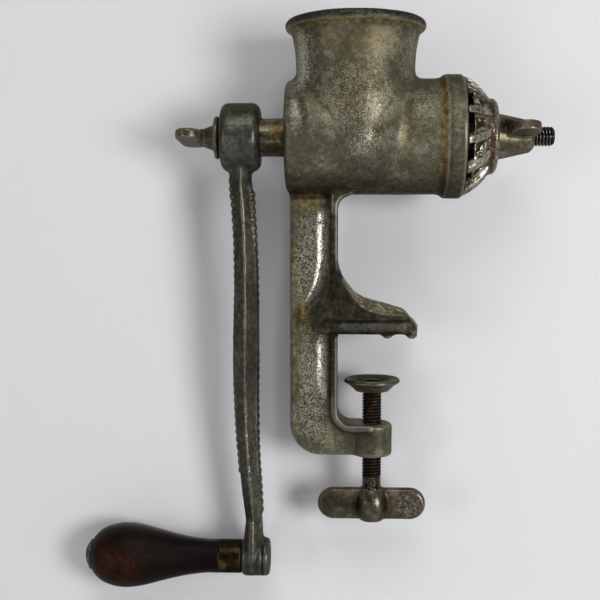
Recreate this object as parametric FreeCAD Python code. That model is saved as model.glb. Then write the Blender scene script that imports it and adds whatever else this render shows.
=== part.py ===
"""Hand-cranked meat grinder that clamps to the edge of a table.

Units are millimetres. The origin lies on the flat face of the upper clamp jaw, on the axis
of the clamp screw. +Z is up, +X runs along the barrel towards the cutter, and the crank
hangs straight down on the -X side.
"""

import FreeCAD, Part
import math
import os

# Fits
running_gap = 0.06  # radial clearance of turning and sliding parts
seat_gap = 0.05  # clearance of fixed parts in their holes
face_gap = 0.3  # clearance between faces that pass each other
overcut = 1.0  # how far a hole is cut past the faces it opens in
diagonal = math.sqrt(0.5)  # share of each radius at the middle of a quarter round

# Barrel
barrel_axis_z = 96.0
barrel_rear_x = -43.1
barrel_front_x = 43.5
barrel_r = 28.3
barrel_bore_r = 24.9
rear_wall = 7.5
rear_round = 4.0
ring_r = 30.3
ring_width = 10.0
ring_round = 1.2
ring_step = 2.4

# Hopper
hopper_x = -8.8
hopper_r = 29.4
hopper_wall = 3.4
ball_lift = 0.6  # the hopper's round root stays this far inside the barrel's underside
hopper_top_z = 152.5
flare_height = 24.0
flare_reach = 2.4
flare_hollow = 0.3  # share of the reach at flare_level
flare_level = 0.6  # share of the height at which the flare is measured
bead_root = 0.8  # share of the bead below its middle where the flare meets it
rim_bead = 3.0
rim_reach = 5.2
rim_lip = 1.6

# Clamp frame
column_left_x = -41.0
column_inner_x = -17.3
web_thickness = 10.0
flange_thickness = 3.2
flange_width = 22.0
crotch_r = 7.0
arm_top_z = -46.5
arm_bottom_z = -62.6
outer_corner_r = 15.5
inner_corner_r = 7.5
boss_r = 10.2
boss_round = 1.6
boss_drop = 0.5  # the boss stands this far below the arm

# Upper jaw
jaw_left_x = -29.5
jaw_tip_x = 22.0
jaw_width = 44.0
jaw_plate = 5.6
jaw_corner_r = 10.0
jaw_edge_r = 2.4
gusset_top_z = 35.0
gusset_bend = (-13.0, 24.0)
gusset_knee = (-4.0, 16.2)
gusset_end = (16.5, 10.4)
gusset_width = 37.0
gusset_foot = 3.0  # from the plate's left end to the foot of the gusset
gusset_hollow = 0.35  # how far the left curve is from the straight line, as a share
gusset_skirt = 2.0  # upright edge of the gusset above the plate
nub_r = 2.4
nub_height = 1.5
nub_inset = 2.5
nub_side_inset = 9.0
nub_pitch = 12.6

# Threads: 3/8 inch on the stud and clamp screw, 5/16 inch on the crank's thumb screw
thread_r = 4.76
thread_pitch = 1.5875
thread_depth = 0.9
thread_crest = 0.3  # share of a pitch that is flat between two grooves
thumb_thread_r = 3.97
thumb_thread_pitch = 1.4111
thumb_thread_depth = 0.75

# Feed screw
journal_r = 9.4
flat_depth = 1.7
flat_angle = 35.0  # the flat faces the front, this far round from straight down
thrust_washer_thickness = 1.2
collar_r = 14.0
collar_width = 3.6
core_rear_r = 12.0
core_front_r = 9.5
flight_r = 23.9
flight_pitch = 30.0
flight_root = 8.0
flight_tip = 3.4
flight_sink = 3.0
drive_square = 12.0
drive_reach = 0.6  # the square stops this far short of the cutter's outer face
stud_embed = 20.0
stud_reach = 28.5  # from the cutter's outer face to the stud's end
stud_chamfer = 1.0
thumb_hole_depth = 18.0
shaft_setback = 1.0  # the shaft stops this far inside the crank hub

# Cutter
cutter_teeth = 12
cutter_r = 29.3
cutter_depth = 16.0
cutter_shell = 2.6
dome_bulge = 0.9
cutter_rim_r = 18.5
cutter_rim_width = 4.8
rim_bevel = 1.4
cutter_hub_r = 11.0
rib_width = 3.8
rib_height = 2.6
rib_swirl = 26.0  # degrees that each rib's line leads at the axis, measured at the rim
tooth_gap = 3.2  # openings between the teeth, along the axis

# Wing nut
nut_base_r = 11.6
nut_end_r = 7.9
nut_length = 18.6
nut_chamfer = 2.0
nut_ear_reach = 22.5
nut_ear_thickness = 4.4
nut_ear_root_x = 2.4
nut_ear_width = 14.2
nut_ear_lean = 3.2
nut_roll = 11.0  # degrees that the ears stand from level

# Crank
crank_gap = 12.7
hub_r = 17.0
hub_length = 19.4
hub_round = 4.0
crank_throw = 212.5
arm_neck_drop = 13.0
arm_neck_thickness = 12.2
arm_neck_width = 21.0
arm_neck_offset = -0.6
arm_mid_drop = 72.0
arm_mid_thickness = 10.9
arm_mid_width = 19.4
arm_mid_offset = 2.4
arm_low_rise = 80.0
arm_low_thickness = 10.9
arm_low_width = 17.4
arm_low_offset = 2.2
arm_bend_rise = 41.0
arm_bend_thickness = 8.5
arm_bend_width = 15.4
arm_bend_offset = 4.1
arm_foot_rise = 18.5
arm_foot_thickness = 8.1
arm_foot_width = 14.2
arm_foot_offset = 5.9
arm_crest = 4.0
boss_end_r = 9.7
boss_end_length = 14.2
boss_end_offset = 6.8
boss_end_round = 2.2
rivet_sink = 2.6
rivet_room = 1.6  # recess around the spindle in the boss

# Crank thumb screw and its washer
washer_r = 10.6
washer_thickness = 3.4
washer_foot_r = 7.4
washer_lift = 1.0
thumb_cone_r = 6.6
thumb_neck_r = 4.4
thumb_cone_length = 5.6
thumb_ear_length = 12.4
thumb_ear_thickness = 5.2
thumb_ear_span = 34.0
thumb_ear_round = 1.5
thumb_ear_overlap = 2.0  # the neck runs this far into the ears
thumb_roll = 4.0  # degrees that the ears stand from level
thumb_shank = 17.0

# Handle
spindle_r = 3.8
rivet_head_r = 6.9
rivet_head_height = 2.4
rivet_spread = 1.0
rivet_setback = 0.6
spindle_washer_r = 7.6
spindle_washer_thickness = 1.0
ferrule_r = 8.5
ferrule_wall = 0.9
ferrule_length = 11.2
grip_length = 76.5
grip_neck_r = 8.7
grip_waist_r = 9.2
grip_waist_x = 24.0
grip_belly_r = 16.3
grip_belly_x = 60.0
grip_end_r = 8.4
grip_swell = 0.4  # how far the side bulges between waist and belly
grip_shoulder = 4.5  # place of the shoulder from the outer end
grip_shoulder_swell = 0.6
handle_side_gap = 0.3

# Clamp screw, thumb piece and pad
pad_r = 14.1
pad_top_z = -24.0
pad_edge = 1.8
pad_depth = 6.4
pad_foot_r = 8.4
pad_dish_r = 12.4
pad_dish_depth = 2.6
pad_floor_r = 6.4
pad_bevel = 0.5
pad_curve_in = 3.4
pad_curve_down = 2.2
peen_r = 5.4
peen_height = 1.6
screw_neck_r = 3.4
shank_r = 4.6
thread_length = 44.0
shank_length = 5.6
wing_span = 54.4
wing_height = 16.0
wing_thickness = 5.4
wing_round = 2.2
wing_hub_r = 8.4
wing_hub_drop = 0.6
screw_tang_r = 2.4
tang_reach = 1.4
tang_chamfer = 0.6
wing_neck_r = 5.6

# Places that follow from the sizes
shaft_axis = FreeCAD.Vector(0, 0, barrel_axis_z)
rear_wall_x = barrel_rear_x + rear_wall
collar_rear_x = rear_wall_x + thrust_washer_thickness + face_gap
cutter_back_x = barrel_front_x + face_gap
cutter_face_x = cutter_back_x + cutter_depth
nut_back_x = cutter_face_x + seat_gap
stud_end_x = cutter_face_x + stud_reach
drive_end_x = cutter_face_x - drive_reach
core_front_x = barrel_front_x - face_gap
hub_right_x = barrel_rear_x - crank_gap
hub_left_x = hub_right_x - hub_length
hub_mid_x = hub_right_x - hub_length / 2
shaft_end_x = hub_left_x + shaft_setback
washer_left_x = hub_left_x - washer_thickness
handle_z = barrel_axis_z - crank_throw
boss_mid_x = hub_mid_x + boss_end_offset
boss_left_x = boss_mid_x - boss_end_length / 2
boss_right_x = boss_mid_x + boss_end_length / 2
grip_right_x = boss_left_x - handle_side_gap
grip_left_x = grip_right_x - grip_length
boss_bottom_z = arm_bottom_z - boss_drop
pad_foot_z = pad_top_z - pad_depth
thread_top_z = pad_foot_z - seat_gap
thread_bottom_z = thread_top_z - thread_length
wing_top_z = thread_bottom_z - shank_length
wing_bottom_z = wing_top_z - wing_height

AXIS_X = FreeCAD.Vector(1, 0, 0)
AXIS_Y = FreeCAD.Vector(0, 1, 0)
AXIS_Z = FreeCAD.Vector(0, 0, 1)


def upright(x, z):
    """A point of an outline in the X-Z plane."""
    return FreeCAD.Vector(x, 0, z)


def flat(x, y):
    """A point of an outline in the X-Y plane."""
    return FreeCAD.Vector(x, y, 0)


def across(y, z):
    """A point of an outline in the Y-Z plane."""
    return FreeCAD.Vector(0, y, z)


def arc_step(centre, radius, middle_deg, end_deg):
    """An arc about centre, as the point it passes through and the point where it ends."""
    spots = []
    for degrees in (middle_deg, end_deg):
        turn = math.radians(degrees)
        spots.append((centre[0] + radius * math.cos(turn), centre[1] + radius * math.sin(turn)))
    return tuple(spots)


def closed_face(place, start, *steps):
    """The face inside an outline. A step is a point, or (through, end) for an arc."""
    edges = []
    here = start
    for step in steps + (start,):
        if isinstance(step[0], tuple):
            through, end = step
            edges.append(Part.Arc(place(*here), place(*through), place(*end)).toShape())
        else:
            end = step
            if math.dist(here, end) > 1e-6:
                edges.append(Part.LineSegment(place(*here), place(*end)).toShape())
        here = end
    return Part.Face(Part.Wire(edges))


def turned_about_x(axis_z, start, *steps):
    """A solid turned about an axis along X, from an outline of (x, radius) points."""

    def place(x, radius):
        return FreeCAD.Vector(x, 0, axis_z + radius)

    return closed_face(place, start, *steps).revolve(FreeCAD.Vector(0, 0, axis_z), AXIS_X, 360)


def turned_about_z(axis_x, start, *steps):
    """A solid turned about an upright axis, from an outline of (radius, z) points."""

    def place(radius, z):
        return FreeCAD.Vector(axis_x + radius, 0, z)

    return closed_face(place, start, *steps).revolve(FreeCAD.Vector(axis_x, 0, 0), AXIS_Z, 360)


def bar_along_x(radius, x_from, x_to, axis_z):
    return Part.makeCylinder(radius, x_to - x_from, FreeCAD.Vector(x_from, 0, axis_z), AXIS_X)


def bar_along_z(radius, z_from, z_to, axis_x=0.0):
    return Part.makeCylinder(radius, z_to - z_from, FreeCAD.Vector(axis_x, 0, z_from), AXIS_Z)


def slab(face, width):
    """An upright outline given a width, half on each side of the X-Z plane."""
    face.translate(FreeCAD.Vector(0, -width / 2, 0))
    return face.extrude(FreeCAD.Vector(0, width, 0))


def thread_steps(start, length, radius, pitch, depth):
    """Outline points of a thread: a V groove in each pitch of the length."""
    steps = []
    for turn in range(int(length / pitch)):
        crest = start + turn * pitch
        steps.append((crest + thread_crest / 2 * pitch, radius))
        steps.append((crest + pitch / 2, radius - depth))
        steps.append((crest + (1 - thread_crest / 2) * pitch, radius))
    return steps


def joined(first, *others):
    return first.fuse(list(others)).removeSplitter()


def body_casting():
    """Hopper, barrel, column, upper jaw and lower arm, cast in one."""
    outer = joined(barrel_outer(), hopper_outer(), column_web(), column_flange(), jaw())
    outer = outer.fuse(arm_boss()).removeSplitter()
    screw_hole = bar_along_z(thread_r + running_gap, boss_bottom_z - overcut, arm_top_z + overcut)
    return outer.cut([barrel_bore(), hopper_cavity(), screw_hole])


def barrel_outer():
    ring_x = barrel_front_x - ring_width
    rear_centre = (barrel_rear_x + rear_round, barrel_r - rear_round)
    near_centre = (ring_x + ring_round, ring_r - ring_round)
    front_centre = (barrel_front_x - ring_round, ring_r - ring_round)
    return turned_about_x(
        barrel_axis_z,
        (barrel_rear_x, 0),
        (barrel_rear_x, barrel_r - rear_round),
        arc_step(rear_centre, rear_round, 135, 90),
        (ring_x - ring_step, barrel_r),
        (ring_x, ring_r - ring_round),
        arc_step(near_centre, ring_round, 135, 90),
        (front_centre[0], ring_r),
        arc_step(front_centre, ring_round, 45, 0),
        (barrel_front_x, 0),
    )


def barrel_bore():
    chamber = bar_along_x(barrel_bore_r, rear_wall_x, barrel_front_x + overcut, barrel_axis_z)
    bearing_r = journal_r + running_gap
    bearing = bar_along_x(bearing_r, barrel_rear_x - overcut, rear_wall_x + overcut, barrel_axis_z)
    return chamber.fuse(bearing)


def hopper_outer():
    """Round hopper with a ball-shaped root in the barrel and a flared, beaded mouth."""
    bead_z = hopper_top_z - rim_bead
    bead_centre = (hopper_r + rim_reach - rim_bead, bead_z)
    flare_from = bead_z - flare_height
    flare_middle = (hopper_r + flare_hollow * flare_reach, flare_from + flare_level * flare_height)
    flare_end = (hopper_r + flare_reach, bead_z - bead_root * rim_bead)
    ball_side = (hopper_r * diagonal, barrel_axis_z - barrel_r * diagonal + ball_lift)
    return turned_about_z(
        hopper_x,
        (0, barrel_axis_z - barrel_r + ball_lift),
        (ball_side, (hopper_r, barrel_axis_z)),
        (hopper_r, flare_from),
        (flare_middle, flare_end),
        arc_step(bead_centre, rim_bead, -30, 0),
        arc_step(bead_centre, rim_bead, 45, 90),
        (0, hopper_top_z),
    )


def hopper_cavity():
    inner_r = hopper_r - hopper_wall
    bead_z = hopper_top_z - rim_bead
    flare_from = bead_z - flare_height
    flare_middle = (inner_r + flare_hollow * flare_reach, flare_from + flare_level * flare_height)
    mouth_r = inner_r + flare_reach
    return turned_about_z(
        hopper_x,
        (0, barrel_axis_z),
        (inner_r, barrel_axis_z),
        (inner_r, flare_from),
        (flare_middle, (mouth_r, bead_z)),
        (mouth_r + rim_lip, hopper_top_z + overcut),
        (0, hopper_top_z + overcut),
    )


def column_web():
    """The upright plate of the clamp frame, turning into the lower arm."""
    outer_centre = (column_left_x + outer_corner_r, arm_bottom_z + outer_corner_r)
    inner_centre = (column_inner_x + inner_corner_r, arm_top_z + inner_corner_r)
    top_z = barrel_axis_z - barrel_bore_r
    face = closed_face(
        upright,
        (column_left_x, top_z),
        (column_left_x, outer_centre[1]),
        arc_step(outer_centre, outer_corner_r, 225, 270),
        (0, arm_bottom_z),
        (0, arm_top_z),
        (inner_centre[0], arm_top_z),
        arc_step(inner_centre, inner_corner_r, 225, 180),
        (column_inner_x, top_z),
    )
    return slab(face, web_thickness)


def column_flange():
    """The wide strip along the inner side of the clamp frame, coved into the web."""
    centre_x = column_inner_x + inner_corner_r
    centre_z = arm_top_z + inner_corner_r
    section = flange_section(centre_z)
    upper = section.extrude(FreeCAD.Vector(0, 0, barrel_axis_z - barrel_bore_r - centre_z))
    corner = section.revolve(FreeCAD.Vector(centre_x, 0, centre_z), -AXIS_Y, 90)
    section.rotate(FreeCAD.Vector(centre_x, 0, centre_z), -AXIS_Y, 90)
    lower = section.extrude(FreeCAD.Vector(-centre_x, 0, 0))
    return joined(upper, corner, lower, crotch())


def flange_section(z):
    """Section of the strip: flat inside, with a hollow curve on each side down to the web."""
    half = flange_width / 2
    cove = half - web_thickness / 2

    def place(depth, y):
        return FreeCAD.Vector(column_inner_x - depth, y, z)

    cove_depth = flange_thickness + cove
    return closed_face(
        place,
        (0, -half),
        (flange_thickness, -half),
        arc_step((cove_depth, -half), cove, 135, 90),
        (cove_depth, web_thickness / 2),
        arc_step((cove_depth, half), cove, 225, 180),
        (0, half),
    )


def crotch():
    """The round corner between the column's inner face and the underside of the barrel."""
    centre = (column_inner_x + crotch_r, barrel_axis_z - barrel_r - crotch_r)
    top_z = barrel_axis_z - barrel_bore_r
    back_x = column_inner_x - flange_thickness
    face = closed_face(
        upright,
        (column_inner_x, centre[1]),
        arc_step(centre, crotch_r, 135, 90),
        (centre[0], top_z),
        (back_x, top_z),
        (back_x, centre[1]),
    )
    return slab(face, flange_width)


def jaw():
    """Upper jaw: a round-edged plate under a curved gusset, with gripping nubs below."""
    half = jaw_width / 2
    inset = jaw_corner_r
    plate_face = closed_face(
        flat,
        (jaw_left_x + inset, -half),
        (jaw_tip_x - inset, -half),
        arc_step((jaw_tip_x - inset, inset - half), inset, -45, 0),
        (jaw_tip_x, half - inset),
        arc_step((jaw_tip_x - inset, half - inset), inset, 45, 90),
        (jaw_left_x + inset, half),
        arc_step((jaw_left_x + inset, half - inset), inset, 135, 180),
        (jaw_left_x, inset - half),
        arc_step((jaw_left_x + inset, inset - half), inset, 225, 270),
    )
    plate = plate_face.extrude(FreeCAD.Vector(0, 0, jaw_plate))
    rims = [edge for edge in plate.Edges if abs(edge.BoundBox.ZLength) < 1e-6]
    plate = plate.makeFillet(jaw_edge_r, rims)
    return joined(plate, jaw_gusset(), *jaw_nubs())


def jaw_gusset():
    """The curve that carries the column's inner strip out along the jaw."""
    back_x = column_inner_x - flange_thickness
    foot_x = jaw_left_x + gusset_foot
    tip_x = jaw_tip_x - jaw_edge_r
    hollow_z = jaw_plate + gusset_hollow * (gusset_top_z - jaw_plate)
    hollow = (back_x - gusset_hollow * (back_x - foot_x), hollow_z)
    side = closed_face(
        upright,
        (foot_x, jaw_plate / 2),
        (foot_x, jaw_plate),
        (hollow, (back_x, gusset_top_z)),
        (column_inner_x, gusset_top_z),
        (gusset_bend, gusset_knee),
        gusset_end,
        (tip_x, jaw_plate),
        (tip_x, jaw_plate / 2),
    )
    spread = closed_face(
        across,
        (-gusset_width / 2, 0),
        (gusset_width / 2, 0),
        (gusset_width / 2, jaw_plate + gusset_skirt),
        (flange_width / 2, gusset_top_z),
        (-flange_width / 2, gusset_top_z),
        (-gusset_width / 2, jaw_plate + gusset_skirt),
    )
    spread.translate(FreeCAD.Vector(foot_x - overcut, 0, 0))
    envelope = spread.extrude(FreeCAD.Vector(tip_x - foot_x + 2 * overcut, 0, 0))
    return slab(side, jaw_width).common(envelope)


def jaw_nubs():
    nubs = []
    for step in (0, 1):
        for side in (-1, 1):
            x = jaw_tip_x - nub_inset - step * nub_pitch
            y = side * (jaw_width / 2 - nub_side_inset)
            foot = FreeCAD.Vector(x, y, jaw_edge_r)
            nubs.append(
                Part.makeCone(nub_r, nub_r / 2, jaw_edge_r + nub_height, foot, -AXIS_Z)
            )
    return nubs


def arm_boss():
    boss = bar_along_z(boss_r, boss_bottom_z, arm_top_z)
    rims = [edge for edge in boss.Edges if abs(edge.BoundBox.ZLength) < 1e-6]
    return boss.makeFillet(boss_round, rims)


def shaft_section(radius, x_from, x_to):
    """A round shaft with the flat that turns the crank."""
    bar = bar_along_x(radius, x_from, x_to, barrel_axis_z)
    box = Part.makeBox(x_to - x_from + 2 * overcut, 2 * radius, flat_depth + overcut)
    box.translate(FreeCAD.Vector(x_from - overcut, -radius, barrel_axis_z - radius - overcut))
    box.rotate(shaft_axis, AXIS_X, -flat_angle)
    return bar.cut(box)


def feed_screw():
    """The worm: bearing journal and crank end behind, flights inside, drive square in front."""
    crank_end = shaft_section(journal_r, shaft_end_x, barrel_rear_x - face_gap)
    core = turned_about_x(
        barrel_axis_z,
        (barrel_rear_x - face_gap, 0),
        (barrel_rear_x - face_gap, journal_r),
        (collar_rear_x, journal_r),
        (collar_rear_x, collar_r),
        (collar_rear_x + collar_width, collar_r),
        (collar_rear_x + collar_width, core_rear_r),
        (core_front_x, core_front_r),
        (core_front_x, 0),
    )
    square = Part.makeBox(drive_end_x - core_front_x, drive_square, drive_square)
    square.translate(FreeCAD.Vector(core_front_x, -drive_square / 2, barrel_axis_z - drive_square / 2))
    worm = joined(core, crank_end, square, flight())
    stud_hole = bar_along_x(
        thread_r + seat_gap, cutter_face_x - stud_embed - seat_gap, drive_end_x + overcut, barrel_axis_z
    )
    thumb_hole = bar_along_x(
        thumb_thread_r + running_gap, shaft_end_x - overcut, shaft_end_x + thumb_hole_depth, barrel_axis_z
    )
    return worm.cut([stud_hole, thumb_hole])


def flight():
    """The left-hand spiral that drives the meat towards the cutter."""
    start_x = collar_rear_x + collar_width + flight_root / 2
    length = core_front_x - flight_tip - start_x
    root_r = core_front_r - flight_sink
    helix = Part.makeHelix(flight_pitch, length, root_r, 0, True)
    section = Part.makePolygon(
        [
            FreeCAD.Vector(root_r, 0, -flight_root / 2),
            FreeCAD.Vector(flight_r, 0, -flight_tip / 2),
            FreeCAD.Vector(flight_r, 0, flight_tip / 2),
            FreeCAD.Vector(root_r, 0, flight_root / 2),
            FreeCAD.Vector(root_r, 0, -flight_root / 2),
        ]
    )
    spiral = Part.Wire(helix).makePipeShell([section], True, True)
    spiral.rotate(FreeCAD.Vector(0, 0, 0), AXIS_Y, 90)
    spiral.translate(FreeCAD.Vector(start_x, 0, barrel_axis_z))
    return spiral


def thrust_washer():
    return turned_about_x(
        barrel_axis_z,
        (rear_wall_x + face_gap / 2, journal_r + running_gap),
        (rear_wall_x + face_gap / 2, collar_r),
        (rear_wall_x + face_gap / 2 + thrust_washer_thickness, collar_r),
        (rear_wall_x + face_gap / 2 + thrust_washer_thickness, journal_r + running_gap),
    )


def front_stud():
    """The threaded stud in the nose of the feed screw."""
    thread_start = drive_end_x
    thread_run = stud_end_x - stud_chamfer - thread_start
    return turned_about_x(
        barrel_axis_z,
        (cutter_face_x - stud_embed, 0),
        (cutter_face_x - stud_embed, thread_r),
        (thread_start, thread_r),
        *thread_steps(thread_start, thread_run, thread_r, thread_pitch, thread_depth),
        (stud_end_x - stud_chamfer, thread_r),
        (stud_end_x, thread_r - stud_chamfer),
        (stud_end_x, 0),
    )


def dome_points(lift):
    """The cutter's domed front, raised by lift: its inner end, a middle point and its outer edge."""
    inner = (cutter_face_x - cutter_rim_width + cutter_shell / 2, cutter_rim_r - rib_height + lift)
    edge = (cutter_back_x, cutter_r - rib_height + lift)
    middle = ((inner[0] + edge[0]) / 2 + dome_bulge, (inner[1] + edge[1]) / 2 + dome_bulge)
    return inner, middle, edge


def cutter():
    """Rotary cutter: swirling ribs over a dome, ending in teeth that pass the barrel's mouth."""
    dome = dome_blank(0, cutter_shell)
    mouth = bar_along_x(cutter_r, cutter_back_x - overcut, cutter_back_x + tooth_gap, barrel_axis_z)
    ribs = []
    for tooth in range(cutter_teeth):
        rib = cutter_rib()
        rib.rotate(shaft_axis, AXIS_X, tooth * 360 / cutter_teeth)
        ribs.append(rib)
    whole = joined(dome.cut(mouth), cutter_hub(), *ribs)
    hole_side = drive_square + 2 * seat_gap
    hole = Part.makeBox(cutter_depth + 2 * overcut, hole_side, hole_side)
    corner = FreeCAD.Vector(cutter_back_x - overcut, -hole_side / 2, barrel_axis_z - hole_side / 2)
    hole.translate(corner)
    return whole.cut(hole)


def dome_blank(lift, thickness):
    """A domed shell from the hub to the outer edge, with its front raised by lift."""
    inner, middle, edge = dome_points(lift)
    slant = thickness * diagonal
    return turned_about_x(
        barrel_axis_z,
        inner,
        (middle, edge),
        (edge[0], edge[1] - thickness),
        ((middle[0] - slant, middle[1] - slant), (inner[0] - slant, inner[1] - slant)),
    )


def cutter_hub():
    """The round front plate that the ribs run into, with a boss behind it for the drive square."""
    boss_x = cutter_back_x + cutter_depth / 2
    plate_x = cutter_face_x - cutter_rim_width
    return turned_about_x(
        barrel_axis_z,
        (boss_x, 0),
        (boss_x, cutter_hub_r),
        (plate_x, cutter_hub_r),
        (plate_x, cutter_rim_r),
        (cutter_face_x - rim_bevel, cutter_rim_r),
        (cutter_face_x, cutter_rim_r - rim_bevel),
        (cutter_face_x, 0),
    )


def cutter_rib():
    """One raised rib of the dome, slanted from the tooth at its outer end to its inner end."""
    blank = dome_blank(rib_height, rib_height + cutter_shell / 2)
    lean = cutter_rim_r * math.tan(math.radians(rib_swirl))
    half = rib_width / 2
    far = cutter_r + overcut
    strip = closed_face(
        across,
        (half + lean, 0),
        (lean - half, 0),
        (-half - lean / 2, far),
        (half - lean / 2, far),
    )
    strip.translate(FreeCAD.Vector(cutter_back_x - overcut, 0, barrel_axis_z))
    return blank.common(strip.extrude(FreeCAD.Vector(cutter_depth + 2 * overcut, 0, 0)))


def wing_nut():
    """Long nut with two ears that lean forwards."""
    end_x = nut_back_x + nut_length
    cone = turned_about_x(
        barrel_axis_z,
        (nut_back_x, 0),
        (nut_back_x, nut_base_r),
        (end_x - nut_chamfer, nut_end_r),
        (end_x, nut_end_r - nut_chamfer),
        (end_x, 0),
    )
    root_x = nut_back_x + nut_ear_root_x
    tip_x = root_x + nut_ear_lean
    tip_r = nut_ear_width / 2
    ear_face = closed_face(
        flat,
        (root_x, 0),
        (tip_x, tip_r - nut_ear_reach),
        arc_step((tip_x + tip_r, tip_r - nut_ear_reach), tip_r, 270, 360),
        (root_x + nut_ear_width, 0),
        (tip_x + 2 * tip_r, nut_ear_reach - tip_r),
        arc_step((tip_x + tip_r, nut_ear_reach - tip_r), tip_r, 90, 180),
    )
    ear_face.translate(FreeCAD.Vector(0, 0, barrel_axis_z - nut_ear_thickness / 2))
    ears = ear_face.extrude(FreeCAD.Vector(0, 0, nut_ear_thickness))
    ears.rotate(shaft_axis, AXIS_X, -nut_roll)
    bore = bar_along_x(thread_r + running_gap, nut_back_x - overcut, end_x + overcut, barrel_axis_z)
    return joined(cone, ears).cut(bore)


def crank_arm():
    """Crank: a round hub on the shaft, a ridged arm and a boss for the handle's spindle."""
    hub = bar_along_x(hub_r, hub_left_x, hub_right_x, barrel_axis_z)
    hub = hub.makeFillet(hub_round, [e for e in hub.Edges if abs(e.BoundBox.XLength) < 1e-6])
    boss = bar_along_x(boss_end_r, boss_left_x, boss_right_x, handle_z)
    boss = boss.makeFillet(boss_end_round, [e for e in boss.Edges if abs(e.BoundBox.XLength) < 1e-6])
    stations = (
        (barrel_axis_z - arm_neck_drop, arm_neck_offset, arm_neck_thickness, arm_neck_width),
        (barrel_axis_z - arm_mid_drop, arm_mid_offset, arm_mid_thickness, arm_mid_width),
        (handle_z + arm_low_rise, arm_low_offset, arm_low_thickness, arm_low_width),
        (handle_z + arm_bend_rise, arm_bend_offset, arm_bend_thickness, arm_bend_width),
        (handle_z + arm_foot_rise, arm_foot_offset, arm_foot_thickness, arm_foot_width),
        (handle_z, boss_end_offset, arm_foot_thickness, arm_foot_width - arm_crest),
    )
    arm = Part.makeLoft([arm_section(*station) for station in stations], True, False)
    outside_x = boss_right_x + overcut
    shaft_hole = shaft_section(journal_r + running_gap, hub_left_x - overcut, hub_right_x + overcut)
    spindle_hole = bar_along_x(spindle_r + seat_gap, boss_left_x - overcut, outside_x, handle_z)
    rivet_recess = bar_along_x(spindle_r + rivet_room, boss_right_x - rivet_sink, outside_x, handle_z)
    return joined(hub, boss, arm).cut([shaft_hole, spindle_hole, rivet_recess])


def arm_section(z, offset, thickness, width):
    """A six-sided section of the crank's arm, with a crest on its narrow sides."""
    x = hub_mid_x + offset
    half = thickness / 2
    side = width / 2 - arm_crest
    corners = [(half, side), (0, width / 2), (-half, side), (-half, -side), (0, -width / 2), (half, -side)]
    points = [FreeCAD.Vector(x + dx, dy, z) for dx, dy in corners]
    return Part.makePolygon(points + points[:1])


def crank_washer():
    """Cupped washer: it seats on the hub near its hole and stands off at its edge."""
    bore = thumb_thread_r + seat_gap
    edge = (washer_thickness - washer_lift) / 2
    edge_x = washer_left_x + edge
    return turned_about_x(
        barrel_axis_z,
        (washer_left_x, bore),
        (washer_left_x, washer_r - edge),
        arc_step((edge_x, washer_r - edge), edge, 90, 0),
        (hub_left_x - washer_lift, washer_foot_r),
        (hub_left_x, washer_foot_r - washer_lift),
        (hub_left_x, bore),
    )


def thumb_screw():
    """Wing-headed screw that holds the crank on its shaft."""
    neck_x = washer_left_x - thumb_cone_length
    tip_x = washer_left_x + thumb_shank
    run = tip_x - hub_left_x
    thread = thread_steps(hub_left_x, run, thumb_thread_r, thumb_thread_pitch, thumb_thread_depth)
    head = turned_about_x(
        barrel_axis_z,
        (neck_x - thumb_ear_overlap, 0),
        (neck_x - thumb_ear_overlap, thumb_neck_r),
        (neck_x, thumb_neck_r),
        (washer_left_x, thumb_cone_r),
        (washer_left_x, thumb_thread_r),
        (hub_left_x, thumb_thread_r),
        *thread,
        (tip_x, thumb_thread_r - thumb_thread_depth),
        (tip_x, 0),
    )
    half = thumb_ear_span / 2
    end_r = thumb_ear_length / 2
    mid_x = neck_x - end_r
    ears_face = closed_face(
        flat,
        (mid_x + end_r, end_r - half),
        (mid_x + end_r, half - end_r),
        arc_step((mid_x, half - end_r), end_r, 90, 180),
        (mid_x - end_r, end_r - half),
        arc_step((mid_x, end_r - half), end_r, 270, 360),
    )
    ears = ears_face.extrude(FreeCAD.Vector(0, 0, thumb_ear_thickness))
    ears.translate(FreeCAD.Vector(0, 0, barrel_axis_z - thumb_ear_thickness / 2))
    rims = [edge for edge in ears.Edges if abs(edge.BoundBox.ZLength) < 1e-6]
    ears = ears.makeFillet(thumb_ear_round, rims)
    ears.rotate(shaft_axis, AXIS_X, -thumb_roll)
    return joined(head, ears)


def handle_spindle():
    """Rod through the grip, riveted in the crank's boss and headed at its outer end."""
    head_right_x = grip_left_x - spindle_washer_thickness - handle_side_gap
    head_left_x = head_right_x - rivet_head_height
    dome_side = (head_right_x - rivet_head_height * diagonal, rivet_head_r * diagonal)
    rivet_x = boss_right_x - rivet_sink
    rivet_end_x = boss_right_x - rivet_setback
    return turned_about_x(
        handle_z,
        (head_left_x, 0),
        (dome_side, (head_right_x, rivet_head_r)),
        (head_right_x, spindle_r),
        (rivet_x, spindle_r),
        (rivet_x, spindle_r + rivet_spread),
        (rivet_end_x, spindle_r),
        (rivet_end_x, 0),
    )


def spindle_washer():
    right_x = grip_left_x - handle_side_gap
    left_x = right_x - spindle_washer_thickness
    return turned_about_x(
        handle_z,
        (left_x, spindle_r + seat_gap),
        (left_x, spindle_washer_r),
        (right_x, spindle_washer_r),
        (right_x, spindle_r + seat_gap),
    )


def handle_ferrule():
    left_x = grip_right_x - ferrule_length
    inner_r = ferrule_r - ferrule_wall
    return turned_about_x(
        handle_z,
        (left_x, inner_r),
        (left_x, ferrule_r),
        (grip_right_x, ferrule_r),
        (grip_right_x, spindle_r + running_gap),
        (grip_right_x - ferrule_wall, spindle_r + running_gap),
        (grip_right_x - ferrule_wall, inner_r),
    )


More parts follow.
